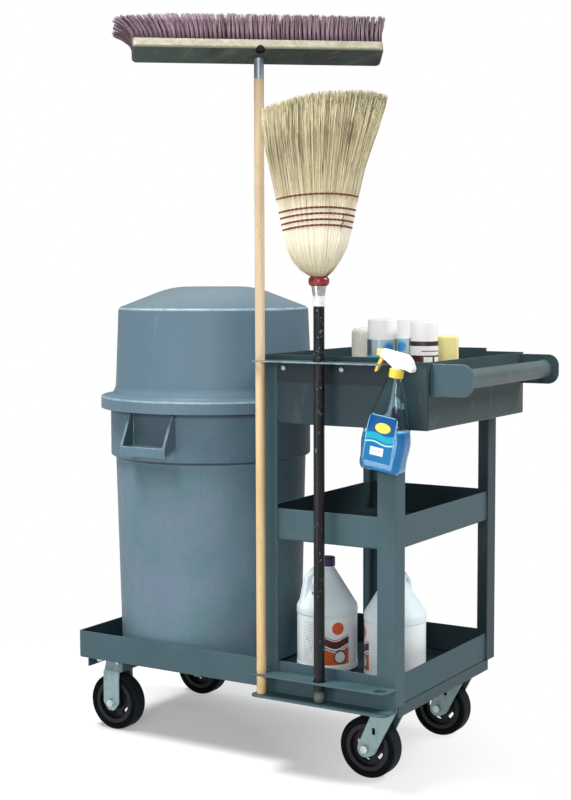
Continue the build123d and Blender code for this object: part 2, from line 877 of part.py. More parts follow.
def push_head_plane():
    """Frame of the broom block: X along the block, Z along the bristles, on the handle's face."""
    lengthwise = Vector(math.cos(turn), math.sin(turn), 0)
    forward = Vector(math.sin(turn), -math.cos(turn), 0)
    bristles = forward * -math.sin(tilt) + Vector(0, 0, math.cos(tilt))
    across = forward * math.cos(tilt) + Vector(0, 0, math.sin(tilt))
    entry = Vector(tool_x[0], tool_y, push_entry_z)
    middle = entry + across * push_socket_offset - lengthwise * push_block_shift
    return Plane(middle, x_dir=lengthwise, z_dir=bristles)


def make_push_block():
    """Wooden block with two raked handle sockets, one of them spare."""
    block = extrude(Rectangle(push_block_length, push_block_width), push_block_thickness)
    block = fillet(block.edges().filter_by(Axis.Z), 2 * push_block_round)
    block = fillet(block.edges().group_by(Axis.Z)[0], push_block_round)
    socket = Cylinder(push_thread_radius + thread_clearance, 2 * push_thread_length)
    spare = Cylinder(push_spare_radius, 2 * push_thread_length)
    block -= Pos(push_block_shift, push_socket_offset, 0) * Rot(push_head_tilt, 0, 0) * socket
    block -= Pos(push_block_shift, -push_spare_offset, 0) * Rot(-push_head_tilt, 0, 0) * spare
    return push_head_plane() * block


def make_push_tip():
    """Metal tip on the handle's end, cut to the block's face, with its threaded stub."""
    low = tool_floor_z + push_handle_length
    sleeve = rod(tool_x[0], tool_y, low, push_entry_z + push_tip_length, push_handle_radius)
    above = extrude(Rectangle(2 * push_block_width, 2 * push_block_width), 4 * push_tip_length)
    sleeve -= push_head_plane() * Pos(0, push_socket_offset, 0) * above
    stub_top = push_entry_z + push_thread_length - thread_clearance
    return sleeve + rod(tool_x[0], tool_y, low, stub_top, push_thread_radius)


def make_push_bristles():
    """Tufts on a slice of the block, fanned out towards the block's ends and sides."""
    slice_top = push_block_thickness + push_slice
    backing = Pos(0, 0, push_block_thickness) * extrude(
        RectangleRounded(push_block_length, push_block_width, 2 * push_block_round), push_slice
    )
    half_length = push_block_length / 2 - push_tuft_margin
    half_width = push_block_width / 2 - push_tuft_margin
    base_half = (push_tuft_width / 2, push_tuft_width / 2)
    top_half = (push_tuft_width * 0.6, push_tuft_width * 0.7)
    tufts = []
    for i in range(push_tuft_columns):
        s = 2 * i / (push_tuft_columns - 1) - 1
        flare = -push_left_flare * s * s if s < 0 else push_right_flare * s
        for j in range(push_tuft_rows):
            q = 2 * j / (push_tuft_rows - 1) - 1
            wave = math.sin(2.7 * i + 1.9 * j)
            base = (s * half_length, q * half_width, slice_top - push_slice / 2)
            drop = flare * flare / (2 * push_bristle_length)
            top = (
                s * half_length + flare + wave,
                q * (half_width + push_side_flare),
                slice_top + push_bristle_length - drop + 1.5 * wave,
            )
            tufts.append(strand(base, top, base_half, top_half))
    return push_head_plane() * (backing + tufts)


def make_corn_handle():
    """Painted handle with a rounded foot."""
    handle = rod(tool_x[1], tool_y, tool_floor_z, corn_head_z, corn_handle_radius)
    return fillet(handle.edges().group_by(Axis.Z)[0], corn_handle_radius * 0.7)


def make_corn_ferrule():
    """Flared metal ferrule on the handle, below the collar."""
    bore = corn_handle_radius + sleeve_clearance
    high = corn_head_z - corn_collar_height
    points = [
        (bore, -corn_ferrule_height),
        (corn_ferrule_radius, -corn_ferrule_height),
        (corn_ferrule_radius, -corn_ferrule_height / 2),
        (corn_ferrule_top_radius, 0),
        (bore, 0),
    ]
    return Pos(tool_x[1], tool_y, high) * turned(points, [0, 0, 20, 0, 0])


def make_corn_collar():
    """Round-edged collar between the ferrule and the corn head."""
    bore = corn_handle_radius + sleeve_clearance
    points = [
        (bore, -corn_collar_height),
        (corn_collar_radius, -corn_collar_height),
        (corn_collar_radius, 0),
        (bore, 0),
    ]
    edge = corn_collar_height * 0.4
    return Pos(tool_x[1], tool_y, corn_head_z) * turned(points, [0, edge, edge, 0])


def oval(half_width, half_thickness, z):
    """Closed oval of four arcs at height z."""
    bulge = 0.76
    quarter = [(1, 0), (0, 1), (-1, 0), (0, -1), (1, 0)]
    ends = [(x * half_width, y * half_thickness, z) for x, y in quarter]
    arcs = []
    for k in range(4):
        mid_x = (quarter[k][0] + quarter[k + 1][0]) * half_width * bulge
        mid_y = (quarter[k][1] + quarter[k + 1][1]) * half_thickness * bulge
        arcs.append(ThreePointArc(ends[k], (mid_x, mid_y, z), ends[k + 1]))
    return Face(Wire([arc.edge() for arc in arcs]))


def make_corn_head():
    """Corn head: rounded bound shoulders, then straws that fan out to a worn, slanting sweep."""
    half_width, half_thickness = corn_bound_width / 2, corn_bound_thickness / 2
    shares = [(0.19, 0.60, 1.25), (0.36, 0.76, 1.30), (0.59, 0.85, 1.20), (0.81, 0.93, 1.08), (1, 1, 1)]
    sections = [oval(corn_neck_radius, corn_neck_radius, 0)]
    for rise, wide, thick in shares:
        sections.append(oval(half_width * wide, half_thickness * thick, corn_bound_height * rise))
    bound = loft(sections)
    straws = []
    for i in range(corn_columns):
        s = 2 * i / (corn_columns - 1) - 1
        rows = corn_rows if abs(s) < 0.72 else 3 if abs(s) < 0.92 else 1
        reach = corn_sweep_left if s < 0 else corn_sweep_right
        pitch = 2 * (half_width - corn_edge) / (corn_columns - 1)
        for j in range(rows):
            q = j - (rows - 1) / 2
            wave = math.sin(5.1 * i + 2.3 * j)
            row_step = corn_bound_thickness * 0.155
            base = (s * (half_width - corn_edge), q * row_step, corn_bound_height - corn_root)
            fall = corn_sweep_fall * ((s - corn_sweep_peak) / (1 + corn_sweep_peak)) ** 2
            slant = corn_sweep_rise - fall - 3 * abs(wave)
            top = (
                s * reach + wave,
                q * corn_sweep_thickness * 0.19,
                corn_bound_height + slant,
            )
            straw_half = (pitch * 0.43, row_step * 0.42)
            tip_half = (pitch * 0.52, row_step * 0.5)
            straws.append(strand(base, top, straw_half, tip_half))
    place = Pos(tool_x[1], tool_y, corn_head_z) * Rot(0, 0, corn_head_turn)
    return place * (bound + straws)


def spray_plane():
    """Frame of the hanging spray bottle: origin at the collar's middle, Z up its axis."""
    origin = Vector(spray_neck_x, tool_y, top_rim_z - spray_drop)
    return Plane(origin, x_dir=(spray_cos, 0, -spray_sin), z_dir=(spray_sin, 0, spray_cos))


def bottle_body(inset):
    """Bottle from under its collar down to its base, moved in by inset."""
    top = -spray_collar_height / 2
    wide, deep = spray_bottle_width, spray_bottle_depth
    levels = [
        (0.30, 0.57, 0.27),
        (0.43, 0.75, 0.27),
        (0.56, 0.87, 0.28),
        (0.69, 0.94, 0.29),
        (0.84, 0.98, 0.30),
        (0.98, 1.00, 0.30),
        (0.99, 1.00, 0.30),
        (0.94, 0.99, 0.30),
        (0.83, 0.95, 0.29),
    ]
    step = spray_bottle_height / (len(levels) - 1)
    faces = []
    for k, (x_share, y_share, corner) in enumerate(levels):
        x_size, y_size = wide * x_share - 2 * inset, deep * y_share - 2 * inset
        outline = RectangleRounded(x_size, y_size, deep * corner - inset)
        wall = {0: -inset, len(levels) - 1: inset}.get(k, 0)
        faces.append(Pos(0, 0, top - k * step + wall) * outline)
    return loft(faces)


def make_spray_bottle():
    """Thin-walled bottle with its neck open at the top."""
    neck_low = -spray_collar_height / 2
    neck_top = spray_collar_height / 2 + spray_neck_rise
    bottle = bottle_body(0) + rod(0, 0, neck_low - 1, neck_top, spray_neck_radius)
    bottle -= bottle_body(spray_wall)
    bottle -= rod(0, 0, neck_low - 2 * spray_wall, neck_top, spray_neck_radius - spray_wall)
    return spray_plane() * bottle


def make_spray_collar():
    """Ribless screw collar round the bottle's neck."""
    half = spray_collar_height / 2
    bore = spray_neck_radius + sleeve_clearance
    points = [(bore, -half), (spray_collar_radius, -half), (spray_collar_radius, half), (bore, half)]
    return spray_plane() * turned(points, [0, 2, 2, 0])


def make_spray_head():
    """Spray head with its sloping throat, trigger slot, neck socket and dip tube."""
    low, high = spray_chin_z, spray_chin_z + spray_head_rise
    throat = low + spray_throat_rise
    points = [
        (-spray_chin_reach, low),
        (spray_back * 0.59, low),
        (spray_back - 2, low - 4),
        (spray_back, low + spray_head_rise * 0.15),
        (spray_back * 0.79, low + spray_head_rise * 0.62),
        (spray_back * 0.48, low + spray_head_rise * 0.90),
        (-spray_nose, high),
        (-spray_nose, throat + 0.5),
        (-spray_throat_reach, throat),
    ]
    head = profile_plate(points, [2, 4, 2.5, 6, 20, 16, 5, 2, 3], spray_head_width)
    sides = head.edges().group_by(Axis.Y)
    head = fillet(sides[0] + sides[-1], 1.5)
    slot_half = spray_trigger_width / 2 + spray_slot_clearance
    slot_end = trigger_pivot_reach - 10
    slot_top = trigger_pivot[1] + trigger_hub + spray_slot_clearance
    head -= brick(-spray_nose - 1, -slot_end, -slot_half, slot_half, low, slot_top)
    socket_low = spray_collar_height / 2
    socket_high = low + spray_throat_rise / 2
    head += rod(0, 0, socket_low, socket_high, spray_socket_radius)
    socket_top = socket_low + spray_neck_rise + seat_gap
    head -= rod(0, 0, socket_low, socket_top, spray_neck_radius + thread_clearance)
    tube_low = -spray_collar_height / 2 - spray_bottle_height + dip_tube_gap
    head += rod(0, 0, tube_low, socket_high, dip_tube_radius)
    bore_length = spray_stub_length + seat_gap
    bore = Cylinder(spray_stub_radius + running_clearance, bore_length)
    head -= Pos(bore_length / 2 - spray_nose, 0, spray_nozzle_z) * Rot(0, 90, 0) * bore
    half = spray_head_width / 2
    return spray_plane() * (head + cross_rod(*trigger_pivot, -half, half, trigger_pin_radius))


def make_spray_nozzle():
    """Square-fronted twist nozzle on its stub."""
    length = spray_nozzle_length
    knob = Box(2 * spray_nozzle_half, 2 * spray_nozzle_half, length)
    knob = fillet(knob.edges().filter_by(Axis.Z), 3)
    knob = Pos(0, 0, -length / 2) * knob
    knob += Pos(0, 0, spray_stub_length / 2) * Cylinder(spray_stub_radius, spray_stub_length)
    knob -= Pos(0, 0, -length) * Cylinder(spray_nozzle_hole, length / 2)
    place = Pos(-spray_nose - seat_gap, 0, spray_nozzle_z) * Rot(0, 90, 0)
    return spray_plane() * place * knob


def make_spray_trigger():
    """Curved trigger on its pivot pin, hanging down in front of the neck."""
    x, z = trigger_pivot
    points = [
        (x - trigger_hub - 1, z + trigger_hub),
        (x + trigger_hub + 1, z + trigger_hub),
        (x + trigger_hub + 1, z - 3),
        (x - 5, z - 8),
        (x - 13, z - 24),
        (x - 19, z - 41),
        (x - 24, z - 38.5),
        (x - 20, z - 22),
        (x - 14, z - 6),
        (x - 8, z),
    ]
    lever = profile_plate(points, [4, 4, 3, 4, 12, 2, 2, 12, 6, 3], spray_trigger_width)
    bore = cross_rod(x, z, -spray_head_width, spray_head_width, trigger_pin_radius + running_clearance)
    return spray_plane() * (lever - bore)


def make_jug(x, y, angle):
    """Round jug, filled and closed, with a shallow label panel and a grip cut through its shoulder."""
    r, neck_r = jug_radius, jug_neck_radius
    shoulder, neck, high = jug_shoulder_height, jug_neck_height, jug_height - jug_cap_wall
    panel_r = r - jug_panel_depth
    points = [
        (0, 0),
        (r, 0),
        (r, jug_panel_low),
        (panel_r, jug_panel_low + jug_panel_edge),
        (panel_r, jug_panel_high - jug_panel_edge),
        (r, jug_panel_high),
        (r, shoulder),
        (neck_r, neck),
        (neck_r, high),
        (0, high),
    ]
    body = turned(points, [0, 10, 1, 1, 1, 1, jug_shoulder_round, 3, 2, 0])
    heel_z = shoulder + jug_grip_heel_rise
    grip_points = [
        (neck_r / 2, neck),
        (jug_grip_top_reach, neck),
        (jug_grip_reach, neck - jug_grip_drop),
        (jug_grip_heel, heel_z),
        (r - 3, shoulder),
        (neck_r / 2, shoulder),
    ]
    grip = profile_plate(grip_points, [0, 14, 14, 20, 0, 0], jug_grip_width)
    sides = grip.edges().group_by(Axis.Y)
    body += fillet(sides[0] + sides[-1], jug_grip_round)
    pocket_top = neck - jug_grip_depth
    pocket_points = [
        (jug_pocket_root, pocket_top),
        (jug_grip_reach - jug_grip_depth, pocket_top),
        (jug_grip_heel - jug_grip_depth, heel_z),
        (jug_pocket_root, heel_z),
    ]
    body -= profile_plate(pocket_points, [6, 6, 6, 9], jug_pocket_width)
    return Pos(x, y, deck_floor_z) * Rot(0, 0, angle) * body


def make_jug_cap(x, y):
    """Screw cap over the jug's neck."""
    bore = jug_neck_radius + jug_cap_clearance
    low, high = jug_height - jug_cap_height, jug_height
    points = [
        (0, high),
        (jug_cap_radius, high),
        (jug_cap_radius, low),
        (bore, low),
        (bore, high - jug_cap_wall),
        (0, high - jug_cap_wall),
    ]
    return Pos(x, y, deck_floor_z) * turned(points, [0, 2, 0, 0, 0, 0])


def make_can(place, radius, height, cap_height):
    """Can with rounded edges and a tall hollow cap standing on its shoulder."""
    body = turned([(0, 0), (radius, 0), (radius, height), (0, height)], [0, cap_wall, cap_wall, 0])
    inner = radius - cap_wall - can_shoulder
    outer = radius - can_shoulder
    top = height + cap_height
    cap_points = [
        (inner, height),
        (outer, height),
        (outer, top),
        (0, top),
        (0, top - cap_wall),
        (inner, top - cap_wall),
    ]
    cap = turned(cap_points, [0, 0, 3, 0, 0, 1])
    spot = Pos(*place, top_floor_z)
    return [spot * body, spot * cap]


def make_roll():
    """Paper roll standing on end, with its core hole."""
    points = [
        (roll_core_radius, 0),
        (roll_radius, 0),
        (roll_radius, roll_height),
        (roll_core_radius, roll_height),
    ]
    return Pos(*roll_place, top_floor_z) * turned(points, [0, roll_round, roll_round, 0])


def make_sponge():
    """Block sponge standing on end."""
    sponge = extrude(RectangleRounded(sponge_width, sponge_thickness, sponge_round), sponge_height)
    sponge = fillet(sponge.edges().group_by(Axis.Z)[-1], sponge_round / 2)
    return Pos(*sponge_place, top_floor_z) * Rot(0, 0, sponge_turn) * sponge


nodes = {}
nodes["deck_tray"] = make_deck_tray()
left_edge_x = deck_left_x + bolster_setback
nodes["left_bolster"] = make_bolster(left_edge_x, left_edge_x + bolster_width)
right_edge_x = cabinet_right_x - leg_thickness
nodes["right_bolster"] = make_bolster(right_edge_x - bolster_width, right_edge_x)
for side_name, x_side in (("left", -1), ("right", 1)):
    for row_name, y_side in (("front", -1), ("rear", 1)):
        nodes[f"leg_{row_name}_{side_name}"] = make_leg(x_side, y_side, nodes["deck_tray"])
nodes["middle_tray"] = make_middle_tray()
nodes["top_tray"] = make_top_tray()
nodes["handle_plate_front"] = make_handle_plate(-1)
nodes["handle_plate_rear"] = make_handle_plate(1)
nodes["handle_tube"] = make_handle_tube()
nodes["upper_tool_bracket"] = make_upper_bracket()
nodes["lower_tool_bracket"] = make_lower_bracket()
nodes["bracket_bolts"] = make_bracket_bolts()
nodes["caster_bolts"] = make_caster_bolts()
nodes["kingpins"] = make_kingpins()
nodes["swivel_balls"] = make_swivel_balls()
for row_name, y in wheel_rows.items():
    nodes[f"rigid_fork_{row_name}"] = make_rigid_fork(y)
    nodes[f"swivel_plate_{row_name}"] = make_swivel_plate(y)
    nodes[f"swivel_fork_{row_name}"] = make_swivel_fork(y)
    for kind, x in (("rigid", rigid_x), ("swivel", swivel_wheel_x)):
        nodes[f"{kind}_axle_{row_name}"] = make_axle(x, y)
        nodes[f"{kind}_tyre_{row_name}"] = make_tyre(x, y)
        nodes[f"{kind}_wheel_core_{row_name}"] = make_core(x, y)
nodes["barrel"] = make_barrel()
nodes["barrel_lid"] = make_lid()
nodes["push_broom_handle"] = make_push_handle()
nodes["push_broom_block"] = make_push_block()
nodes["push_broom_tip"] = make_push_tip()
nodes["push_broom_bristles"] = make_push_bristles()
nodes["corn_broom_handle"] = make_corn_handle()
nodes["corn_broom_ferrule"] = make_corn_ferrule()
nodes["corn_broom_collar"] = make_corn_collar()
nodes["corn_broom_head"] = make_corn_head()
nodes["spray_bottle"] = make_spray_bottle()
nodes["spray_collar"] = make_spray_collar()
nodes["spray_head"] = make_spray_head()
nodes["spray_trigger"] = make_spray_trigger()
nodes["spray_nozzle"] = make_spray_nozzle()
for jug_name, (x, y, angle) in jug_places.items():
    nodes[f"jug_{jug_name}"] = make_jug(x, y, angle)
    nodes[f"jug_cap_{jug_name}"] = make_jug_cap(x, y)
nodes["canister_front"] = make_can(canister_front, canister_radius, canister_height, canister_cap_height)
nodes["canister_rear"] = make_can(canister_rear, canister_radius, canister_height, canister_cap_height)
nodes["jar_can"] = make_can(jar_place, jar_radius, jar_height, jar_cap_height)
nodes["paper_roll"] = make_roll()
nodes["sponge"] = make_sponge()

for node_name, shape in nodes.items():
    solids = shape if isinstance(shape, list) else [shape]
    group = Compound(children=[solid for piece in solids for solid in piece.solids()])
    export_step(group, os.path.join("parts", f"{node_name}.step"))
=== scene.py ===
import json
import math
import random

import bpy
import numpy as np
from mathutils import Matrix, Vector, noise
from mathutils.bvhtree import BVHTree


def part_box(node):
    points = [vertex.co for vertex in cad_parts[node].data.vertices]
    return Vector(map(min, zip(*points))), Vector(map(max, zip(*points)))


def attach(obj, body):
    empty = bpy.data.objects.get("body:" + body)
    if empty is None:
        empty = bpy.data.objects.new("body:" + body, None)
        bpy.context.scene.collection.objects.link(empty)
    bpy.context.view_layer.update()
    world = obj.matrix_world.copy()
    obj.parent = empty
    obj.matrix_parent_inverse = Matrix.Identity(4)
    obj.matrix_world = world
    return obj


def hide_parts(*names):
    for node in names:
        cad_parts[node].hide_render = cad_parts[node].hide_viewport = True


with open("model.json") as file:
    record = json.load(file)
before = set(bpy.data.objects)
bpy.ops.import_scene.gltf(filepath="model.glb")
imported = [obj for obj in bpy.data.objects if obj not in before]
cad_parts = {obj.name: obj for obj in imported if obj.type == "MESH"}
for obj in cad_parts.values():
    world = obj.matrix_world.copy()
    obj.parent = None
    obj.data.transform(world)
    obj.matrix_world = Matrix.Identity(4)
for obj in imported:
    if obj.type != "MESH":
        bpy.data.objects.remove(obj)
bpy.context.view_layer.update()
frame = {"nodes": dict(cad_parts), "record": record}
nodes = frame["nodes"]
scene = bpy.context.scene
scene.view_settings.view_transform = "Standard"


# Small helpers for meshes

def centre(node):
    """Middle of a node's box."""
    low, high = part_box(node)
    return (Vector(low) + Vector(high)) / 2


def add_mesh(name, verts, faces, material, smooth=True):
    """New mesh object from lists of points and faces."""
    mesh = bpy.data.meshes.new(name)
    mesh.from_pydata([tuple(v) for v in verts], [], faces)
    mesh.materials.append(material)
    if smooth:
        mesh.shade_smooth()
    mesh.update()
    piece = bpy.data.objects.new(name, mesh)
    scene.collection.objects.link(piece)
    return piece


def circle(count):
    """Cosines and sines of angles evenly spaced round a turn."""
    angles = [2 * math.pi * k / count for k in range(count)]
    return [(math.cos(a), math.sin(a)) for a in angles]


def sweep(paths, sides):
    """Points and faces of closed tubes: each path is a list of (point, radius)."""
    verts, faces = [], []
    turns = circle(sides)
    for path in paths:
        start = len(verts)
        points = [Vector(p) for p, _ in path]
        side = None
        for k, (_, radius) in enumerate(path):
            ahead = points[min(k + 1, len(points) - 1)]
            behind = points[max(k - 1, 0)]
            along = (ahead - behind).normalized()
            if side is None:
                side = along.orthogonal()
            side = (side - side.dot(along) * along).normalized()
            other = along.cross(side)
            for ca, sa in turns:
                verts.append(points[k] + radius * (ca * side + sa * other))
        for k in range(len(path) - 1):
            for s in range(sides):
                a = start + k * sides + s
                b = start + k * sides + (s + 1) % sides
                faces.append((a, b, b + sides, a + sides))
        last = start + (len(path) - 1) * sides
        faces.append(tuple(range(start + sides - 1, start - 1, -1)))
        faces.append(tuple(range(last, last + sides)))
    return verts, faces


def ring_mesh(rings, closed=True, caps=True, looped=False):
    """Points and quad faces of a stack of rings; looped joins the last ring to the first."""
    count = len(rings[0])
    verts = [p for ring in rings for p in ring]
    faces = []
    for k in range(len(rings) if looped else len(rings) - 1):
        below, above = k * count, (k + 1) % len(rings) * count
        for s in range(count if closed else count - 1):
            t = (s + 1) % count
            faces.append((below + s, below + t, above + t, above + s))
    if caps:
        faces.append(tuple(range(count - 1, -1, -1)))
        top = (len(rings) - 1) * count
        faces.append(tuple(range(top, top + count)))
    return verts, faces


def skin(node):
    """A node's surface, to drop points onto."""
    mesh = nodes[node].data
    return BVHTree.FromPolygons([v.co for v in mesh.vertices], [p.vertices for p in mesh.polygons])


def lay_on(surface, start, direction, proud=0.0004):
    """Where a ray meets a surface, lifted proud of it."""
    spot, normal, _, _ = surface.ray_cast(start, direction)
    if normal.dot(direction) > 0:
        normal = -normal
    return spot + proud * normal


def laid_label(name, node, rows, columns, ray, material):
    """Label laid on a node: ray gives a start and a direction for each point of its grid."""
    surface = skin(node)
    grid = [[lay_on(surface, *ray(i, j)) for j in range(columns + 1)] for i in range(rows + 1)]
    return add_mesh(name, *ring_mesh(grid, closed=False, caps=False), material)


def rounded_box(half, corner, step):
    """Points, outward directions and faces of a box with round edges, in a fine grid."""
    places, verts, normals, faces = {}, [], [], []

    def corner_of(point):
        key = tuple(round(c, 6) for c in point)
        if key not in places:
            inner = Vector([max(-h + corner, min(h - corner, c)) for c, h in zip(point, half)])
            out = (Vector(point) - inner).normalized()
            places[key] = len(verts)
            verts.append(inner + corner * out)
            normals.append(out)
        return places[key]

    counts = [max(2, round(2 * h / step)) for h in half]
    for axis in range(3):
        u, v = (axis + 1) % 3, (axis + 2) % 3
        for sign in (-1, 1):
            for i in range(counts[u]):
                for j in range(counts[v]):
                    quad = []
                    for di, dj in ((0, 0), (1, 0), (1, 1), (0, 1)):
                        point = [0.0, 0.0, 0.0]
                        point[axis] = sign * half[axis]
                        point[u] = half[u] * (2 * (i + di) / counts[u] - 1)
                        point[v] = half[v] * (2 * (j + dj) / counts[v] - 1)
                        quad.append(corner_of(point))
                    faces.append(tuple(quad) if sign > 0 else tuple(reversed(quad)))
    return verts, normals, faces


# Small helpers for materials

class Shader:
    """One node material with short calls for the nodes that it needs."""

    def __init__(self, name):
        self.material = bpy.data.materials.new(name)
        self.material.use_nodes = True
        self.tree = self.material.node_tree
        self.bsdf = self.tree.nodes["Principled BSDF"]
        self.place = self.tree.nodes.new("ShaderNodeTexCoord").outputs

    def put(self, socket, value):
        if isinstance(value, bpy.types.NodeSocket):
            self.tree.links.new(value, socket)
        elif isinstance(value, (tuple, list)) and len(value) == 3 and socket.type == "RGBA":
            socket.default_value = (*value, 1)
        else:
            socket.default_value = value

    def set(self, **values):
        for key, value in values.items():
            self.put(self.bsdf.inputs[key.replace("_", " ")], value)
        return self

    def node(self, kind, out=0, props=None, **values):
        made = self.tree.nodes.new("ShaderNode" + kind)
        for key, value in (props or {}).items():
            setattr(made, key, value)
        for key, value in values.items():
            numbered = key[0] == "i" and key[1:].isdigit()
            self.put(made.inputs[int(key[1:]) if numbered else key.replace("_", " ")], value)
        return made.outputs[out]

    def stretch(self, scale, turn=(0, 0, 0)):
        return self.node("Mapping", Vector=self.place["Object"], Scale=scale, Rotation=turn)

    def noise(self, scale, detail=3.0, rough=0.55, distort=0.0, where=None):
        return self.node("TexNoise", Vector=where or self.place["Object"], Scale=scale, Detail=detail,
                         Roughness=rough, Distortion=distort)

    def ramp(self, fac, *stops):
        made = self.tree.nodes.new("ShaderNodeValToRGB")
        self.put(made.inputs[0], fac)
        points = made.color_ramp.elements
        while len(points) < len(stops):
            points.new(0.5)
        for point, (at, colour) in zip(points, stops):
            point.position = at
            point.color = (*colour, 1) if isinstance(colour, tuple) else (colour, colour, colour, 1)
        return made.outputs[0]

    def mix(self, fac, a, b, blend="MIX"):
        props = {"data_type": "RGBA", "blend_type": blend}
        return self.node("Mix", out=2, props=props, i0=fac, i6=a, i7=b)

    def math(self, op, a, b=0.0, clamp=False):
        return self.node("Math", props={"operation": op, "use_clamp": clamp}, i0=a, i1=b)

    def times(self, a, b):
        return self.math("MULTIPLY", a, b)

    def plus(self, a, b):
        return self.math("ADD", a, b)

    def minus(self, a, b):
        return self.math("SUBTRACT", a, b)

    def scaled(self, value, share, offset):
        return self.plus(self.times(value, share), offset)

    def hypot(self, a, b):
        return self.math("SQRT", self.plus(self.times(a, a), self.times(b, b)))

    def dot(self, a, b):
        return self.node("VectorMath", out=1, props={"operation": "DOT_PRODUCT"}, i0=a, i1=b)

    def away(self, point):
        """Vector from a point to the place that is shaded."""
        return self.node("VectorMath", props={"operation": "SUBTRACT"}, i0=self.place["Object"], i1=point)

    def axes(self):
        made = self.tree.nodes.new("ShaderNodeSeparateXYZ")
        self.tree.links.new(self.place["Object"], made.inputs[0])
        return made.outputs

    def cut(self, value, low, high):
        """0 below low, rising to 1 at high."""
        return self.ramp(value, (low, 0.0), (high, 1.0))

    def spots(self, low, high, *noise):
        """Patches of noise, cut between two levels."""
        return self.cut(self.noise(*noise), low, high)

    def climb(self, value, start, width):
        """0 up to start, rising to 1 over a width."""
        return self.math("DIVIDE", self.minus(value, start), width, clamp=True)

    def band(self, value, low, high, soft):
        """1 between low and high, with edges soft wide."""
        up = self.climb(value, low - soft / 2, soft)
        return self.times(up, self.climb(high + soft / 2, value, soft))

    def multiplied(self, base, tint):
        return self.mix(1.0, base, tint, "MULTIPLY")

    def tint(self, base, colour, mask, share):
        """Base with a share of another colour where the mask is."""
        return self.mix(self.times(mask, share), base, colour)

    def bump(self, height, strength, distance, normal=None):
        more = {} if normal is None else {"Normal": normal}
        return self.node("Bump", Strength=strength, Distance=distance, Height=height, **more)

    def done(self, colour, rough, bump=None, **more):
        """The finished material, its bump from a height, a strength, a distance and any normal."""
        self.set(Base_Color=colour, Roughness=rough, **more)
        if bump:
            self.set(Normal=self.bump(*bump))
        return self.material

    def rounded(self, radius, samples=4):
        """Normal with the edges rounded."""
        return self.node("Bevel", props={"samples": samples}, Radius=radius)

    def worn_edge(self, radius):
        """Mask that is 1 on convex and concave edges, and a normal with those edges rounded."""
        bevel = self.rounded(radius, 6)
        geometry = self.node("NewGeometry", out=1)
        bent = self.minus(1.0, self.dot(bevel, geometry))
        return self.math("MULTIPLY", bent, 4.0, clamp=True), bevel


def shaded(colour, share):
    """A colour made darker or lighter."""
    return tuple(share * c for c in colour)


def paint(name, colour, worn, dirt, edge_width=0.0022, edge_share=0.60, shade=None):
    """Satin machine paint with fine orange peel and handling marks; pale edges: a painted highlight line with
    bare, scuffed patches.
    """
    s = Shader(name)
    large = s.noise(3.5, 4, 0.6)
    fine = s.noise(210, 2)
    marks = s.noise(14, 6, 0.7, 0.6, s.stretch((1, 1, 0.35)))
    base = s.mix(s.cut(large, 0.3, 0.72), shaded(colour, 0.86), shaded(colour, 1.12))
    base = s.tint(base, worn, s.cut(marks, 0.60, 0.70), 0.22)
    base = s.tint(base, dirt, s.spots(0.62, 0.80, 5, 6, 0.7), 0.45)
    if shade:
        base = shade(s, base)
    edge, rounded = s.worn_edge(edge_width)
    # Pale edges: a steady painted highlight line along every edge, with patches of bare, scuffed paint where
    # the noise is high.
    pale_marks = s.times(edge, s.ramp(s.noise(60, 4, 0.7), (0.44, 0.30), (0.60, 1.0)))
    base = s.tint(base, worn, pale_marks, edge_share)
    rough = s.scaled(large, 0.16, 0.38)
    return s.done(base, rough, (fine, 0.10, 0.0006, rounded), Specular_IOR_Level=0.22)


def moulded(name, colour, streak, scuff, rough, streaky=0.5, grain=420, shade=None, mottle=0.35,
            edge_share=0.0, edge_width=0.0022):
    """Moulded plastic with faint flow streaks, scuffs, pale edges (a painted highlight line and rubbed
    patches) and a fine leathery grain.
    """
    s = Shader(name)
    flow = s.noise(5.0, 5, 0.62, 0.4, s.stretch((1.0, 1.0, 0.18)))
    cloud = s.noise(2.6, 4, 0.6)
    base = s.tint(colour, streak, s.cut(flow, 0.35, 0.70), streaky)
    base = s.tint(base, shaded(colour, 0.78), s.cut(cloud, 0.40, 0.75), mottle)
    specks = s.spots(0.42, 0.66, 95, 5, 0.75)
    base = s.tint(base, shaded(colour, 0.70), specks, 0.5 * mottle)
    patchy = s.spots(0.63, 0.72, 38, 6, 0.75, 0.8, s.stretch((1, 1, 0.3)))
    base = s.tint(base, scuff, patchy, 0.30)
    if shade:
        base = shade(s, base)
    edge, rounded = s.worn_edge(edge_width)
    # Pale edges: a steady painted highlight line, with rubbed patches where the noise is high.
    pale_marks = s.times(edge, s.ramp(s.noise(50, 4, 0.7), (0.36, 0.35), (0.58, 1.0)))
    base = s.tint(base, scuff, pale_marks, edge_share)
    return s.done(base, s.scaled(flow, 0.14, rough), (s.noise(grain, 2), 0.12, 0.0005, rounded),
                  Specular_IOR_Level=0.25)


def plated(name, colour, rough, stain):
    """Plated steel with a mottled bloom and grime in places."""
    s = Shader(name)
    bloom = s.noise(70, 5, 0.65)
    base = s.mix(s.cut(bloom, 0.35, 0.65), shaded(colour, 0.82), colour)
    base = s.tint(base, stain, s.spots(0.55, 0.72, 22, 6, 0.7), 0.5)
    edge, rounded = s.worn_edge(0.0012)
    base = s.tint(base, (0.86, 0.88, 0.88), edge, 0.25)
    return s.done(base, s.scaled(bloom, 0.2, rough), (bloom, 0.15, 0.0004, rounded), Metallic=0.75)


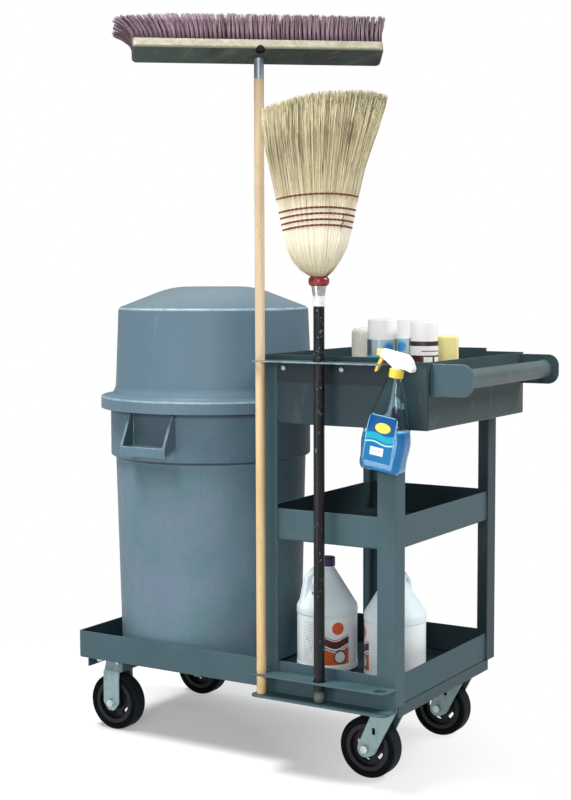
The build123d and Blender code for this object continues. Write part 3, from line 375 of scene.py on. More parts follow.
def wood(name, pale, dark, lines, coat, node):
    """Straight-grained, smudged wood, the grain along Z, yellower towards the foot."""
    s = Shader(name)
    foot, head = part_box(node)[0][2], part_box(node)[1][2]
    up = s.climb(s.axes()[2], foot, head - foot)
    grain = s.noise(46, 6, 0.62, 0.8, s.stretch((1, 1, 0.035)))
    fibre = s.noise(420, 3, 0.6, 0.0, s.stretch((1, 1, 0.02)))
    base = s.mix(s.cut(grain, 0.36, 0.62), pale, dark)
    base = s.tint(base, lines, s.cut(fibre, 0.50, 0.66), 0.35)
    smudge = s.spots(0.60, 0.78, 9, 5, 0.7, 0.3, s.stretch((1, 1, 0.5)))
    base = s.tint(base, shaded(dark, 0.55), smudge, 0.40)
    hue = s.ramp(up, (0.0, (0.98, 0.84, 0.58)), (0.45, (1.0, 0.88, 0.68)),
                 (0.60, (0.97, 0.90, 0.84)), (1.0, (0.95, 0.90, 0.86)))
    base = s.multiplied(base, hue)
    specks = s.spots(0.60, 0.68, 190, 5, 0.7, 0.2, s.stretch((1, 1, 0.22)))
    base = s.tint(base, (0.20, 0.105, 0.045), specks, 0.55)
    return s.done(base, s.scaled(grain, 0.2, 0.36), (fibre, 0.20, 0.0004), Coat_Weight=coat)


def gloss(name, colour, rough, shade=0.85):
    """Injection-moulded glossy plastic with faint sink marks."""
    s = Shader(name)
    cloud = s.noise(60, 3)
    rounded = s.rounded(0.0012)
    base = s.mix(s.cut(cloud, 0.3, 0.7), shaded(colour, shade), colour)
    return s.done(base, s.scaled(cloud, 0.12, rough), (cloud, 0.05, 0.0008, rounded), Coat_Weight=0.15)


def dress(material, *names):
    for name in names:
        for slot in nodes[name].material_slots:
            slot.material = material


# Finishes of the cart, the casters and the barrel
steel_tone, steel_worn, steel_dirt = (0.053, 0.099, 0.118), (0.18, 0.23, 0.24), (0.026, 0.033, 0.033)
steel = paint("steel_paint", steel_tone, steel_worn, steel_dirt)
zinc = plated("zinc", (0.31, 0.44, 0.46), 0.36, (0.12, 0.14, 0.14))
dull_zinc = plated("dull_zinc", (0.245, 0.345, 0.345), 0.38, (0.10, 0.12, 0.12))
bolt = plated("bolt_zinc", (0.62, 0.66, 0.66), 0.28, (0.22, 0.22, 0.20))
dress(steel, *frame["record"]["behaviour"]["bodies"]["cart"])


def coat_steel(name, *names, tone=1.0, worn=steel_worn, **more):
    """The cart's paint on some nodes, in a darker tone or with its own wear."""
    dress(paint(name, shaded(steel_tone, tone), worn, steel_dirt, **more), *names)


def bracket_shade(node):
    """Painted shadow under the bracket's flange, and a brighter front edge: partly rubbed paint, partly a
    painted highlight.
    """
    top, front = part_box(node)[1][2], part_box(node)[0][1]
    flange = 0.0042

    def shade(s, base):
        _, y, z = s.axes()
        # Painted shadow on the bracket below its flange.
        under = s.times(s.band(z, 0.0, top - flange, 0.002), s.band(y, front + 0.01, front + 1, 0.004))
        base = s.tint(base, (0.012, 0.019, 0.025), under, 0.86)
        # The flange's front edge: partly rubbed paint, partly a painted highlight.
        edge = s.band(y, front - 0.01, front + 0.0012, 0.0006)
        rim = s.times(s.band(z, top - flange, top + 1, 0.0004), edge)
        patchy = s.ramp(s.noise(40, 4, 0.6), (0.36, 0.35), (0.62, 1.0))
        return s.tint(base, (0.30, 0.38, 0.40), rim, patchy)

    return shade


coat_steel("bracket_shaded_paint", "upper_tool_bracket", shade=bracket_shade("upper_tool_bracket"))
# The front handle plate's wider, brighter pale edges are a painted highlight line with rubbed patches.
coat_steel("plate_paint", "handle_plate_front", tone=0.96, worn=(0.30, 0.39, 0.41), edge_width=0.004,
           edge_share=0.85)
coat_steel("shaded_plate_paint", "handle_plate_rear", tone=0.55, worn=(0.15, 0.20, 0.22))
dress(paint("tube_paint", (0.088, 0.117, 0.120), (0.32, 0.36, 0.36), steel_dirt), "handle_tube")


def end_shade(node, tint):
    """Another tone of paint on the outside of a tray's right end."""
    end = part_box(node)[1][0]

    def shade(s, base):
        outside = s.band(s.axes()[0], end - 0.0012, end + 1, 0.001)
        return s.mix(outside, base, s.multiplied(base, tint))

    return shade


def inside_shade(node, share, outer=None):
    """Painted shade inside a tray: a darker tone there than on the outside of its walls."""
    low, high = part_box(node)
    wall, soft = 0.0026, 0.0008

    def shade(s, base):
        x, y, _ = s.axes()
        within = s.times(s.band(x, low[0] + wall, high[0] - wall, soft),
                         s.band(y, low[1] + wall, high[1] - wall, soft))
        # Painted shade on all faces inside the walls.
        base = s.tint(base, (0.006, 0.010, 0.012), within, share)
        return outer(s, base) if outer else base

    return shade


# The top tray's paint is darkened as painted shadow from the bracket over its front; the outside of its right
# end is tinted lighter and warmer, to its own olive tone.
coat_steel("top_tray_shaded_paint", "top_tray", tone=0.52, shade=end_shade("top_tray", (1.60, 1.40, 1.17)))
deck_end = end_shade("deck_tray", (0.69, 0.89, 0.90))
coat_steel("deck_shaded_paint", "deck_tray", shade=inside_shade("deck_tray", 0.62, deck_end))
coat_steel("middle_tray_shaded_paint", "middle_tray", shade=inside_shade("middle_tray", 0.66))
# The far rear leg's paint is darkened as painted shade.
coat_steel("far_leg_shaded_paint", "leg_rear_right", tone=0.46, worn=shaded(steel_tone, 1.3))
# The bolsters under the deck are painted darker as painted shade.
coat_steel("bolster_shaded_paint", "left_bolster", "right_bolster", tone=0.70)
dress(plated("small_bolt", (0.40, 0.44, 0.45), 0.36, (0.15, 0.16, 0.16)), "bracket_bolts")
dress(bolt, "caster_bolts", "kingpins", "swivel_balls")
rows = ("front", "rear")
for row in rows:
    dress(zinc, f"rigid_fork_{row}")
    dress(dull_zinc, f"swivel_plate_{row}", f"swivel_fork_{row}")
    dress(bolt, f"rigid_axle_{row}", f"swivel_axle_{row}")


def barrel_shade(s, base):
    """Uneven, stained plastic, darker down to the foot of the band; painted shade under the lid, in the grips
    and under the band's step, and a painted shadow below the grips.
    """
    middle, rim = centre("barrel"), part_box("barrel")[1][2]
    band_foot, grip_half, grip_near, grip_far = 0.159, 0.0674, 0.262, 0.3222
    x, y, z = s.axes()
    dx, dy = s.minus(x, middle.x), s.math("ABSOLUTE", s.minus(y, middle.y))
    drop = s.minus(rim, z)
    for scale, low, high, tint in ((6, 0.44, 0.62, (1.14, 1.0, 1.08)), (7.5, 0.46, 0.64, (0.84, 0.97, 0.92))):
        cloud = s.spots(low, high, scale, 5, 0.65, 0.3)
        base = s.mix(cloud, base, s.multiplied(base, tint))
    runs = s.spots(0.50, 0.68, 7, 6, 0.62, 0.2, s.stretch((1, 1, 0.10)))
    base = s.tint(base, s.multiplied(base, (0.70, 0.72, 0.74)), runs, 0.35)
    base = s.tint(base, (0.035, 0.042, 0.045), s.spots(0.72, 0.76, 210, 2), 0.6)
    base = s.tint(base, (0.36, 0.43, 0.46), s.spots(0.73, 0.77, 260, 2), 0.5)
    upper = s.band(drop, -1.0, band_foot, 0.001)
    base = s.mix(upper, base, s.multiplied(base, (0.80, 0.84, 0.88)))
    # Painted shade inside the grip openings, and a painted shadow on the body below the grips.
    between = s.times(s.band(dx, -grip_half, grip_half, 0.001), s.band(dy, grip_near, grip_far, 0.001))
    hollow = s.times(between, s.band(drop, 0.030, 0.116, 0.004))
    beside = s.times(s.band(dx, -0.076, 0.076, 0.02), s.band(dy, 0.2, 1, 0.01))
    below = s.times(beside, s.band(drop, 0.160, 0.232, 0.03))
    # Painted shade in a line under the lid and under the band's step.
    shade_under_lid, shade_under_band = s.band(drop, 0.012, 0.034, 0.010), s.band(drop, band_foot, 0.167, 0.004)
    under = s.math("MAXIMUM", shade_under_lid, shade_under_band)
    for mask, share in ((hollow, 0.55), (below, 0.34), (under, 0.70)):
        base = s.tint(base, (0.020, 0.032, 0.038), mask, share)
    return base


# The barrel's pale grip edges are a painted highlight line with rubbed patches.
barrel = moulded("barrel_plastic", (0.130, 0.212, 0.258), (0.168, 0.256, 0.298), (0.40, 0.50, 0.55), 0.46,
                 mottle=0.60, shade=barrel_shade, edge_share=0.9, edge_width=0.0045)
dress(barrel, "barrel")


def highlight_rims(node, crown, *rims):
    """Painted highlight lines round a turned piece at heights above its foot, and a crown painted warmer and
    lighter as a painted sheen.
    """
    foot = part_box(node)[0][2]

    def shade(s, base):
        z = s.minus(s.axes()[2], foot)
        patchy = s.ramp(s.noise(30, 5, 0.65), (0.34, 0.25), (0.60, 1.0))
        # Painted sheen on the crown.
        base = s.mix(s.band(z, crown, 1.0, 0.012), base, s.multiplied(base, (1.24, 1.04, 0.95)))
        # Painted highlight lines, patchy along their length.
        for low, high, share in rims:
            line = s.times(s.band(z, low, high, 0.004), share)
            base = s.tint(base, (0.46, 0.58, 0.64), line, patchy)
        return base

    return shade


# Painted highlights on the lid: lines at its shoulder and at its flange's upper edge, and a sheen on its
# crown.
lid_highlights = highlight_rims("barrel_lid", 0.285, (0.277, 0.281, 0.75), (0.030, 0.033, 0.6))
lid = moulded("lid_plastic", (0.106, 0.174, 0.224), (0.127, 0.197, 0.244), (0.24, 0.31, 0.35), 0.38, 0.35,
              shade=lid_highlights, mottle=0.45)
dress(lid, "barrel_lid")


def tyre_rubber(name, hub, radius):
    """Black rubber, greyed and scuffed on the tread."""
    s = Shader(name)
    x, _, z = s.axes()
    dx, dz = s.minus(x, hub.x), s.minus(z, hub.z)
    out = s.hypot(dx, dz)
    tread = s.climb(out, radius - 0.004, 0.003)
    dust = s.noise(90, 6, 0.7)
    base = s.mix(s.spots(0.3, 0.7, 30, 4), (0.0015, 0.0025, 0.003), (0.004, 0.006, 0.007))
    base = s.mix(s.times(tread, s.ramp(dust, (0.30, 0.55), (0.70, 1.0))), base, (0.019, 0.025, 0.028))
    base = s.tint(base, (0.013, 0.016, 0.018), s.spots(0.55, 0.75, 16, 6, 0.7), 0.30)
    return s.done(base, s.scaled(dust, 0.2, 0.50), (s.noise(300, 3), 0.25, 0.0006), Specular_IOR_Level=0.04)


core = moulded("core_black", (0.006, 0.007, 0.009), (0.014, 0.014, 0.016), (0.05, 0.05, 0.05), 0.40, 0.5, 160)
for row in rows:
    for kind in ("rigid", "swivel"):
        tyre = f"{kind}_tyre_{row}"
        low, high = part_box(tyre)
        dress(tyre_rubber(tyre + "_rubber", centre(tyre), (high[2] - low[2]) / 2), tyre)
        dress(core, f"{kind}_wheel_core_{row}")


# Push broom
broom = centre("push_broom_handle")
entry_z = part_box("push_broom_handle")[1][2] + 0.045
block_length, block_width, block_thickness, slice_thickness = 0.630, 0.070, 0.023, 0.003
block_shift, socket_offset, spare_offset, spare_radius = 0.003, 0.0165, 0.0266, 0.0124
turn, tilt = math.radians(38.65), math.radians(28.8)
lengthwise = Vector((math.cos(turn), math.sin(turn), 0))
forward = Vector((math.sin(turn), -math.cos(turn), 0))
across = math.cos(tilt) * forward + math.sin(tilt) * Vector((0, 0, 1))
upward = -math.sin(tilt) * forward + math.cos(tilt) * Vector((0, 0, 1))
block_middle = Vector((broom.x, broom.y, entry_z)) + socket_offset * across - block_shift * lengthwise


def on_block(a, b, c):
    """Point in the block's frame: along it, across it towards the front, up the bristles."""
    return block_middle + a * lengthwise + b * across + c * upward


pale_wood = wood("pale_wood", (0.74, 0.63, 0.46), (0.62, 0.48, 0.30), (0.48, 0.34, 0.185), 0.10,
                 "push_broom_handle")
dress(pale_wood, "push_broom_handle")
dress(plated("tip_steel", (0.30, 0.35, 0.38), 0.34, (0.12, 0.12, 0.12)), "push_broom_tip")


def block_stain(name):
    """Hardwood block: dark stain, worn to bare wood on the front side, and a dark disc of painted shade over
    the spare socket.
    """
    s = Shader(name)
    spin = (0, 0, -turn)
    grain = s.noise(60, 6, 0.65, 0.6, s.stretch((0.05, 1, 1), spin))
    fibre = s.noise(360, 3, 0.6, 0.0, s.stretch((0.03, 1, 1), spin))
    facing = s.dot(s.place["Normal"], across)
    rise = s.dot(s.away(block_middle), upward)
    ragged = s.times(s.minus(s.noise(70, 5, 0.7, 0.4), 0.5), 0.9)
    bare = s.math("DIVIDE", s.plus(s.minus(facing, 0.45), s.times(ragged, 0.5)), 0.16, clamp=True)
    stain = s.mix(s.cut(grain, 0.35, 0.65), (0.010, 0.016, 0.012), (0.046, 0.052, 0.040))
    patch = s.spots(0.40, 0.60, 9, 4, 0.6, 0.3, s.stretch((0.6, 1, 1), spin))
    stain = s.tint(stain, (0.036, 0.064, 0.054), patch, 0.8)
    rubbed = s.spots(0.54, 0.68, 24, 6, 0.7, 0.5, s.stretch((0.3, 1, 1), spin))
    stain = s.tint(stain, (0.13, 0.115, 0.080), rubbed, 0.60)
    pale = s.mix(s.cut(grain, 0.35, 0.62), (0.385, 0.355, 0.280), (0.25, 0.23, 0.165))
    worn = s.math("DIVIDE", s.plus(s.minus(0.009, rise), s.times(ragged, 0.014)), 0.005, clamp=True)
    pale = s.tint(pale, (0.165, 0.175, 0.115), worn, 0.75)
    spots = s.spots(0.60, 0.68, 150, 5, 0.7, 0.2)
    pale = s.tint(pale, (0.085, 0.080, 0.055), spots, 0.6)
    base = s.mix(bare, stain, pale)
    # Painted shade: a dark disc over the spare socket's hole.
    mouth = block_middle + block_shift * lengthwise + spare_offset * across
    bore = math.cos(tilt) * upward - math.sin(tilt) * across
    off = s.away(mouth)
    along = s.dot(off, bore)
    whole = s.dot(off, off)
    radius = s.math("SQRT", s.minus(whole, s.times(along, along)))
    base = s.mix(s.band(radius, -1.0, spare_radius, 0.0005), base, (0.010, 0.008, 0.010))
    base = s.tint(base, (0.10, 0.09, 0.06), s.cut(fibre, 0.52, 0.66), 0.3)
    return s.done(base, s.scaled(grain, 0.2, 0.45), (fibre, 0.25, 0.0005))


dress(block_stain("block_wood"), "push_broom_block")


def fibres(name, base, tip, spread, rough):
    """Fibres with a tint of their own each, dusty at the tips."""
    s = Shader(name)
    own = s.node("NewGeometry", out=8)
    tone = s.ramp(own, (0.0, shaded(base, 1 - spread)), (0.55, base), (1.0, tip))
    along = s.noise(26, 4, 0.6)
    tone = s.tint(tone, shaded(base, 0.6), s.cut(along, 0.45, 0.75), 0.4)
    tips = s.climb(s.dot(s.away(block_middle), upward), 0.084, 0.012)
    tone = s.tint(tone, (0.135, 0.115, 0.110), tips, 0.55)
    return s.done(tone, rough, Specular_IOR_Level=0.30)


def push_bristles():
    """Tufted bristles in rows, fanned out at the ends as they are on a used broom."""
    rng = random.Random(11)
    slice_top = block_thickness + slice_thickness
    end_margin, side_margin, seat_corner, seat_points = 0.006, 0.007, 0.011, 72
    half_length, half_width = block_length / 2 - end_margin, block_width / 2 - side_margin
    columns, tuft_rows, per_tuft, tuft_radius = 56, 6, 26, 0.0030
    left_flare, right_flare, side_flare, bristle_length = 0.046, 0.010, 0.009, 0.0765
    most_lean, end_spread, side_spread, scatter = 0.0035, 0.0040, 0.0035, 0.0008
    dome, flare_arc, sunk, root_radius, taper = 0.0012, 0.15, 0.001, 0.00095, 0.0001
    paths = []
    for i in range(columns):
        s = 2 * i / (columns - 1) - 1
        flare = -left_flare * s * s if s < 0 else right_flare * s
        for j in range(tuft_rows):
            q = 2 * j / (tuft_rows - 1) - 1
            lean = rng.uniform(-most_lean, most_lean)
            tall = bristle_length + rng.uniform(-0.0020, 0.0012)
            for _ in range(per_tuft):
                spot, out = rng.uniform(0, 2 * math.pi), math.sqrt(rng.uniform(0, 1))
                ca, sa = out * math.cos(spot), out * math.sin(spot)
                a0 = s * half_length + tuft_radius * ca
                b0 = q * half_width + tuft_radius * sa
                reach = tall * rng.uniform(0.975, 1.0) - dome * out * out - flare * flare / flare_arc
                a1 = a0 + flare + lean + end_spread * ca + rng.gauss(0, scatter)
                b1 = b0 + q * side_flare + side_spread * sa
                path = []
                for t in (0.0, 0.4, 0.75, 1.0):
                    bend = t * t
                    a, b = a0 + (a1 - a0) * bend, b0 + (b1 - b0) * bend
                    path.append((on_block(a, b, slice_top - sunk + reach * t), root_radius - taper * t))
                paths.append(path)
    material = fibres("bristle", (0.225, 0.145, 0.183), (0.36, 0.255, 0.310), 0.50, 0.5)
    piece = add_mesh("push_bristles", *sweep(paths, 3), material)
    seat = []
    for level in (block_thickness + 0.0001, slice_top):
        loop = []
        for ca, sa in circle(seat_points):
            x = math.copysign(block_length / 2 - seat_corner, ca) + seat_corner * ca
            y = math.copysign(block_width / 2 - seat_corner, sa) + seat_corner * sa
            loop.append(on_block(x, y, level))
        seat.append(loop)
    block_material = nodes["push_broom_block"].material_slots[0].material
    seat_piece = add_mesh("bristle_seat", *ring_mesh(seat), block_material, False)
    for part, slot_name in ((piece, "bristle"), (seat_piece, "block_wood")):
        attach(part, "push_broom")
    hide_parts("push_broom_bristles")


push_bristles()

# Corn broom
corn = centre("corn_broom_handle")
head_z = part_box("corn_broom_head")[0][2]
head_turn = math.radians(31.5)
head_along = Vector((math.cos(head_turn), math.sin(head_turn), 0))
head_side = Vector((-math.sin(head_turn), math.cos(head_turn), 0))
corn_rises = [0.000, 0.012, 0.037, 0.069, 0.113, 0.157, 0.197, 0.250, 0.310, 0.372, 0.410, 0.440]
corn_left = [0.020, 0.042, 0.065, 0.081, 0.089, 0.098, 0.106, 0.118, 0.132, 0.141, 0.141, 0.135]
corn_right = [0.020, 0.034, 0.052, 0.070, 0.081, 0.090, 0.097, 0.109, 0.128, 0.151, 0.163, 0.170]
corn_thick = [0.020, 0.029, 0.036, 0.038, 0.036, 0.032, 0.030, 0.030, 0.031, 0.032, 0.033, 0.033]


def on_head(s, q, rise):
    """Point of the corn head: s from -1 at the left edge to 1 at the right, q through it."""
    s = max(-1.0, min(1.0, s))
    side = float(np.interp(rise, corn_rises, corn_left if s < 0 else corn_right))
    thick = float(np.interp(rise, corn_rises, corn_thick))
    round_off = math.sqrt(max(0.0, 1 - abs(s) ** 2.6))
    p = Vector((corn.x, corn.y, head_z + rise))
    return p + s * side * head_along + q * thick * round_off * head_side


def sweep_end(s):
    """Height of the sweep's worn end above the head's foot: highest right of the middle."""
    highest, peak, left_drop, corner_drop = 0.4555, 0.50, 0.043, 0.007
    return highest - left_drop * ((s - peak) / 1.50) ** 2 - corner_drop * max(0.0, s - 0.75) / 0.25


def straw_finish(name):
    """Dry straws, each with a tint of its own: cream at the bound foot, khaki and dark at the worn end."""
    s = Shader(name)
    own = s.node("NewGeometry", out=8)
    rise = s.climb(s.axes()[2], head_z, 0.45)
    single = s.ramp(own, (0.0, (0.050, 0.040, 0.020)), (0.18, (0.19, 0.157, 0.084)),
                    (0.45, (0.50, 0.425, 0.245)), (0.70, (0.76, 0.67, 0.43)),
                    (0.88, (0.92, 0.85, 0.61)), (1.0, (0.34, 0.285, 0.155)))
    general = s.ramp(rise, (0.0, (0.50, 0.425, 0.275)), (0.07, (0.78, 0.71, 0.52)),
                     (0.20, (0.93, 0.88, 0.73)), (0.34, (0.90, 0.81, 0.66)),
                     (0.46, (0.68, 0.61, 0.41)), (0.75, (0.53, 0.48, 0.30)),
                     (0.92, (0.40, 0.365, 0.225)), (1.0, (0.25, 0.23, 0.15)))
    share = s.ramp(rise, (0.0, 0.60), (0.20, 0.82), (0.36, 0.76), (0.48, 0.45), (0.62, 0.25), (0.90, 0.25),
                   (1.0, 0.70))
    tone = s.mix(share, single, general)
    blotch = s.spots(0.54, 0.70, 14, 5, 0.65)
    tone = s.mix(s.times(blotch, s.times(rise, 0.5)), tone, (0.10, 0.085, 0.050))
    side = s.dot(s.away(corn), head_along)
    left = s.climb(-0.02, side, 0.12)
    left = s.times(left, s.ramp(rise, (0.40, 0.0), (0.60, 0.42)))
    tone = s.mix(left, tone, (0.17, 0.150, 0.095))
    knots = s.spots(0.58, 0.75, 150, 4, 0.6)
    tone = s.tint(tone, (0.20, 0.15, 0.07), knots, 0.30)
    return s.done(tone, 0.62, Specular_IOR_Level=0.3)


straw = straw_finish("corn_straw")


def thread_finish(name):
    """Twisted dark red thread."""
    s = Shader(name)
    twist = s.node("TexWave", Vector=s.stretch((1, 1, 1), (0, 0.6, 0)), Scale=180.0, Distortion=1.0)
    return s.done(s.mix(twist, (0.070, 0.012, 0.007), (0.185, 0.032, 0.018)), 0.7, (twist, 0.5, 0.0006))


def corn_head():
    """Bound shoulders and a fanned sweep of single straws over a filled middle."""
    rng = random.Random(5)
    bound = [0.0, 0.006, 0.012, 0.024, 0.037, 0.053, 0.069, 0.091, 0.113, 0.135, 0.157, 0.175, 0.193]
    fanned, bound_fill, fanned_fill, points = [0.25, 0.31], 0.93, 0.80, 64
    body = []
    for rise in bound + fanned:
        fill = bound_fill if rise in bound else fanned_fill
        loop = []
        for s, sa in circle(points):
            q = math.copysign(1.0, sa) if abs(sa) > 1e-6 else 0.0
            loop.append(on_head(s * fill, q * fill, rise))
        body.append(loop)
    filler = add_mesh("corn_filler", *ring_mesh(body), straw)
    outer_straws, outer_radius, outer_stray = 1700, 0.0016, 0.10
    inner_straws, inner_radius, inner_taper, inner_stray, inner_foot = 3400, 0.0011, 0.0004, 0.06, 0.18
    paths = []
    for _ in range(outer_straws):
        s = rng.uniform(-0.985, 0.985)
        q = rng.choice((-1, 1)) * rng.uniform(0.90, 1.0)
        end = sweep_end(s) * rng.uniform(0.91, 1.0)
        drift = rng.gauss(0, 0.02)
        path = []
        for t in (0.0, 0.04, 0.10, 0.18, 0.27, 0.36, 0.45, 0.62, 0.80, 1.0):
            past_middle = max(0.0, t - 0.5)
            loose = past_middle * 2
            strayed = q * (1 + outer_stray * rng.uniform(-1, 1) * loose)
            point = on_head(s + drift * loose, strayed, end * t)
            path.append((point, outer_radius - outer_radius * past_middle))
        paths.append(path)
    for _ in range(inner_straws):
        s = rng.uniform(-1.0, 1.0)
        q = rng.uniform(-1.0, 1.0)
        end = sweep_end(s) * rng.uniform(0.93, 1.0)
        drift = rng.gauss(0, 0.035)
        path = []
        for t in (0.0, 0.35, 0.7, 1.0):
            strayed = q * (1 + inner_stray * rng.uniform(-1, 1) * t)
            point = on_head(s + drift * t, strayed, inner_foot + (end - inner_foot) * t)
            path.append((point, inner_radius - inner_taper * t))
        paths.append(path)
    straws = add_mesh("corn_straws", *sweep(paths, 3), straw)
    stitches = add_mesh("corn_stitches", *sweep(stitch_paths(), 6), thread_finish("stitch_thread"))
    for part in (filler, straws, stitches):
        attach(part, "corn_broom")
    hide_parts("corn_broom_head")


def stitch_paths():
    """Five rows of two crossing threads, bowed up in the middle, and one loose thread end."""
    bow, slant, weave, steps = 0.0095, 0.0028, 0.0011, 150
    hug, proud, ripple, crossings, thread_radius = 0.995, 1.035, 0.012, 24, 0.0018
    tail_proud, tail_radius = 1.05, 0.0011
    rows = (0.2024, 0.1694, 0.1546, 0.1398, 0.1260)

    def seat(s, q, rise):
        return on_head(hug * s, q, rise - bow * s * s + slant * s)

    paths = []
    for rise in rows:
        for strand in (0, 1):
            path = []
            for k in range(steps + 1):
                a = 2 * math.pi * k / steps
                phase = crossings * a + math.pi * strand
                q = (1.0 if math.sin(a) >= 0 else -1.0) * (proud + ripple * math.cos(phase))
                path.append((seat(math.cos(a), q, rise + weave * math.sin(phase)), thread_radius))
            paths.append(path)
    tail = [(0.70, rows[2]), (0.66, rows[3]), (0.72, rows[3] - 0.006), (0.64, rows[4] + 0.004),
            (0.66, rows[4] - 0.008)]
    paths.append([(seat(s, -tail_proud, rise), tail_radius) for s, rise in tail])
    return paths


corn_head()


def flaked_paint(name):
    """Black paint that has flaked from the wood, worn bare at the foot."""
    s = Shader(name)
    foot_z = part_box("corn_broom_handle")[0][2]
    z = s.axes()[2]
    bare = s.minus(1.0, s.climb(z, foot_z + 0.012, 0.022))
    pale_marks = s.spots(0.64, 0.665, 46, 7, 0.72, 0.6, s.stretch((1, 1, 0.45)))
    upper = s.climb(z, foot_z + 0.55, 0.35)
    worn = s.plus(s.noise(130, 5, 0.7), s.times(upper, 0.045))
    more = s.cut(worn, 0.655, 0.68)
    show = s.math("MAXIMUM", s.math("MAXIMUM", bare, s.times(pale_marks, 0.55)), s.times(more, 0.6))
    grain = s.noise(60, 5, 0.6, 0.5, s.stretch((1, 1, 0.05)))
    wooden = s.mix(grain, (0.17, 0.145, 0.105), (0.08, 0.065, 0.045))
    under = s.mix(bare, (0.36, 0.44, 0.44), wooden)
    coat = s.mix(s.noise(8, 4), (0.005, 0.006, 0.007), (0.012, 0.013, 0.015))
    return s.done(s.mix(show, coat, under), s.scaled(show, 0.35, 0.30), (show, -0.35, 0.0006),
                  Specular_IOR_Level=0.22)


dress(flaked_paint("black_handle"), "corn_broom_handle")


def banded_ferrule(name):
    """Drawn bright metal, its lower half painted white and rubbed."""
    s = Shader(name)
    low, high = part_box("corn_broom_ferrule")
    z = s.math("DIVIDE", s.minus(s.axes()[2], low[2]), high[2] - low[2])
    bloom = s.noise(90, 5, 0.65)
    metal = s.mix(s.cut(bloom, 0.35, 0.65), (0.26, 0.26, 0.27), (0.50, 0.50, 0.50))
    rubbed = s.spots(0.58, 0.64, 120, 5, 0.7)
    painted = s.times(s.band(z, -0.1, 0.52, 0.02), s.minus(1.0, s.times(rubbed, 0.7)))
    return s.done(s.mix(painted, metal, (0.80, 0.79, 0.76)), s.scaled(painted, 0.25, 0.20),
                  (painted, 0.2, 0.0003), Metallic=s.times(s.minus(1.0, painted), 0.9))


dress(banded_ferrule("ferrule_metal"), "corn_broom_ferrule")
dress(gloss("collar_red", (0.27, 0.012, 0.018), 0.26), "corn_broom_collar")

# Spray bottle
lean = math.radians(9.4)
spray_up = Vector((math.sin(lean), 0, math.cos(lean)))
spray_x = Vector((math.cos(lean), 0, -math.sin(lean)))
spray_y = Vector((0, 1, 0))
spray_collar = centre("spray_collar")
bottle_foot = -0.242
liquid_level = 0.9175


def on_spray(x, y, z):
    """Point in the bottle's frame, from the collar's middle."""
    return spray_collar + x * spray_x + y * spray_y + z * spray_up


def clear_finish(name):
    """Clear moulded plastic with a slight ripple."""
    s = Shader(name)
    return s.done((0.80, 0.95, 0.99), 0.03, (s.noise(45, 2), 0.08, 0.001), Transmission_Weight=1.0,
                  IOR=1.30)


def liquid_finish(name):
    """Blue cleaning liquid, paler in a thin line at its surface."""
    s = Shader(name)
    below = s.climb(liquid_level, s.axes()[2], 0.005)
    swirl = s.noise(18, 3)
    deep = s.mix(s.cut(swirl, 0.35, 0.65), (0.0, 0.125, 0.33), (0.0, 0.185, 0.43))
    return s.done(s.mix(below, (0.30, 0.62, 0.82), deep), 0.10, (swirl, 0.03, 0.001),
                  Specular_IOR_Level=0.05)


def spray_liquid():
    """The liquid: it follows the bottle's inner wall up to a level surface."""
    wall = skin("spray_bottle")
    around, rows, low = 72, 36, bottle_foot + 0.003
    foot_gap, foot_share, foot_drop = 0.0022, 0.97, 0.0006
    columns = []
    for ca, sa in circle(around):
        out = ca * spray_x + sa * spray_y

        def inside(z):
            return lay_on(wall, on_spray(0, 0, z), out)

        top = (liquid_level - spray_collar.z) / spray_up.z
        for _ in range(6):
            top += (liquid_level - inside(top).z) / spray_up.z
        columns.append([inside(low + (top - low) * t / rows) for t in range(rows + 1)])
    rings = [[column[t] for column in columns] for t in range(rows + 1)]
    middle = on_spray(0, 0, bottle_foot + foot_gap)
    rings.insert(0, [middle + foot_share * (p - middle) - foot_drop * spray_up for p in rings[0]])
    piece = add_mesh("spray_liquid", *ring_mesh(rings), liquid_finish("spray_liquid_blue"))
    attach(piece, "spray")


label_low, label_high, label_half, label_corner = -0.222, -0.104, 0.040, 0.010
label_shift = -0.003


def label_finish(name):
    """Plain printed label: deep blue, a yellow disc, turquoise stripes, a white panel and outline."""
    s = Shader(name)
    away = s.away(spray_collar)
    u = s.dot(away, spray_x)
    u = s.minus(u, label_shift)
    v = s.dot(away, spray_up)
    ink = s.noise(160, 3)
    base = s.mix(ink, (0.0, 0.060, 0.21), (0.0, 0.080, 0.26))
    fade = s.climb(label_high - 0.030, v, 0.05)
    base = s.mix(fade, base, (0.0, 0.150, 0.36))
    for low, high, colour in ((-0.166, -0.150, (0.0, 0.36, 0.50)), (-0.174, -0.170, (0.35, 0.70, 0.78))):
        wave = s.times(s.math("SINE", s.times(u, 90.0)), 0.003)
        base = s.mix(s.band(s.plus(v, wave), low, high, 0.001), base, colour)
    du, dv = s.minus(u, 0.004), s.times(s.minus(v, -0.134), 1.7)
    oval = s.hypot(du, dv)
    base = s.mix(s.band(oval, -1, 0.021, 0.001), base, s.mix(ink, (0.86, 0.66, 0.06), (0.90, 0.74, 0.16)))
    panel = s.times(s.band(u, -0.022, 0.014, 0.0006), s.band(v, -0.203, -0.183, 0.0006))
    base = s.mix(panel, base, (0.82, 0.84, 0.84))
    rules = s.times(s.band(u, -0.018, 0.010, 0.0006), s.band(v, -0.196, -0.190, 0.0006))
    base = s.tint(base, (0.45, 0.48, 0.50), rules, 0.6)
    margin, soft = 0.0022, 0.0005
    inner = s.times(s.band(u, -label_half + margin, label_half - margin, soft),
                    s.band(v, label_low + margin, label_high - margin, soft))
    base = s.mix(inner, (0.22, 0.46, 0.66), base)
    return s.done(base, s.scaled(ink, 0.12, 0.26), Specular_IOR_Level=0.15)


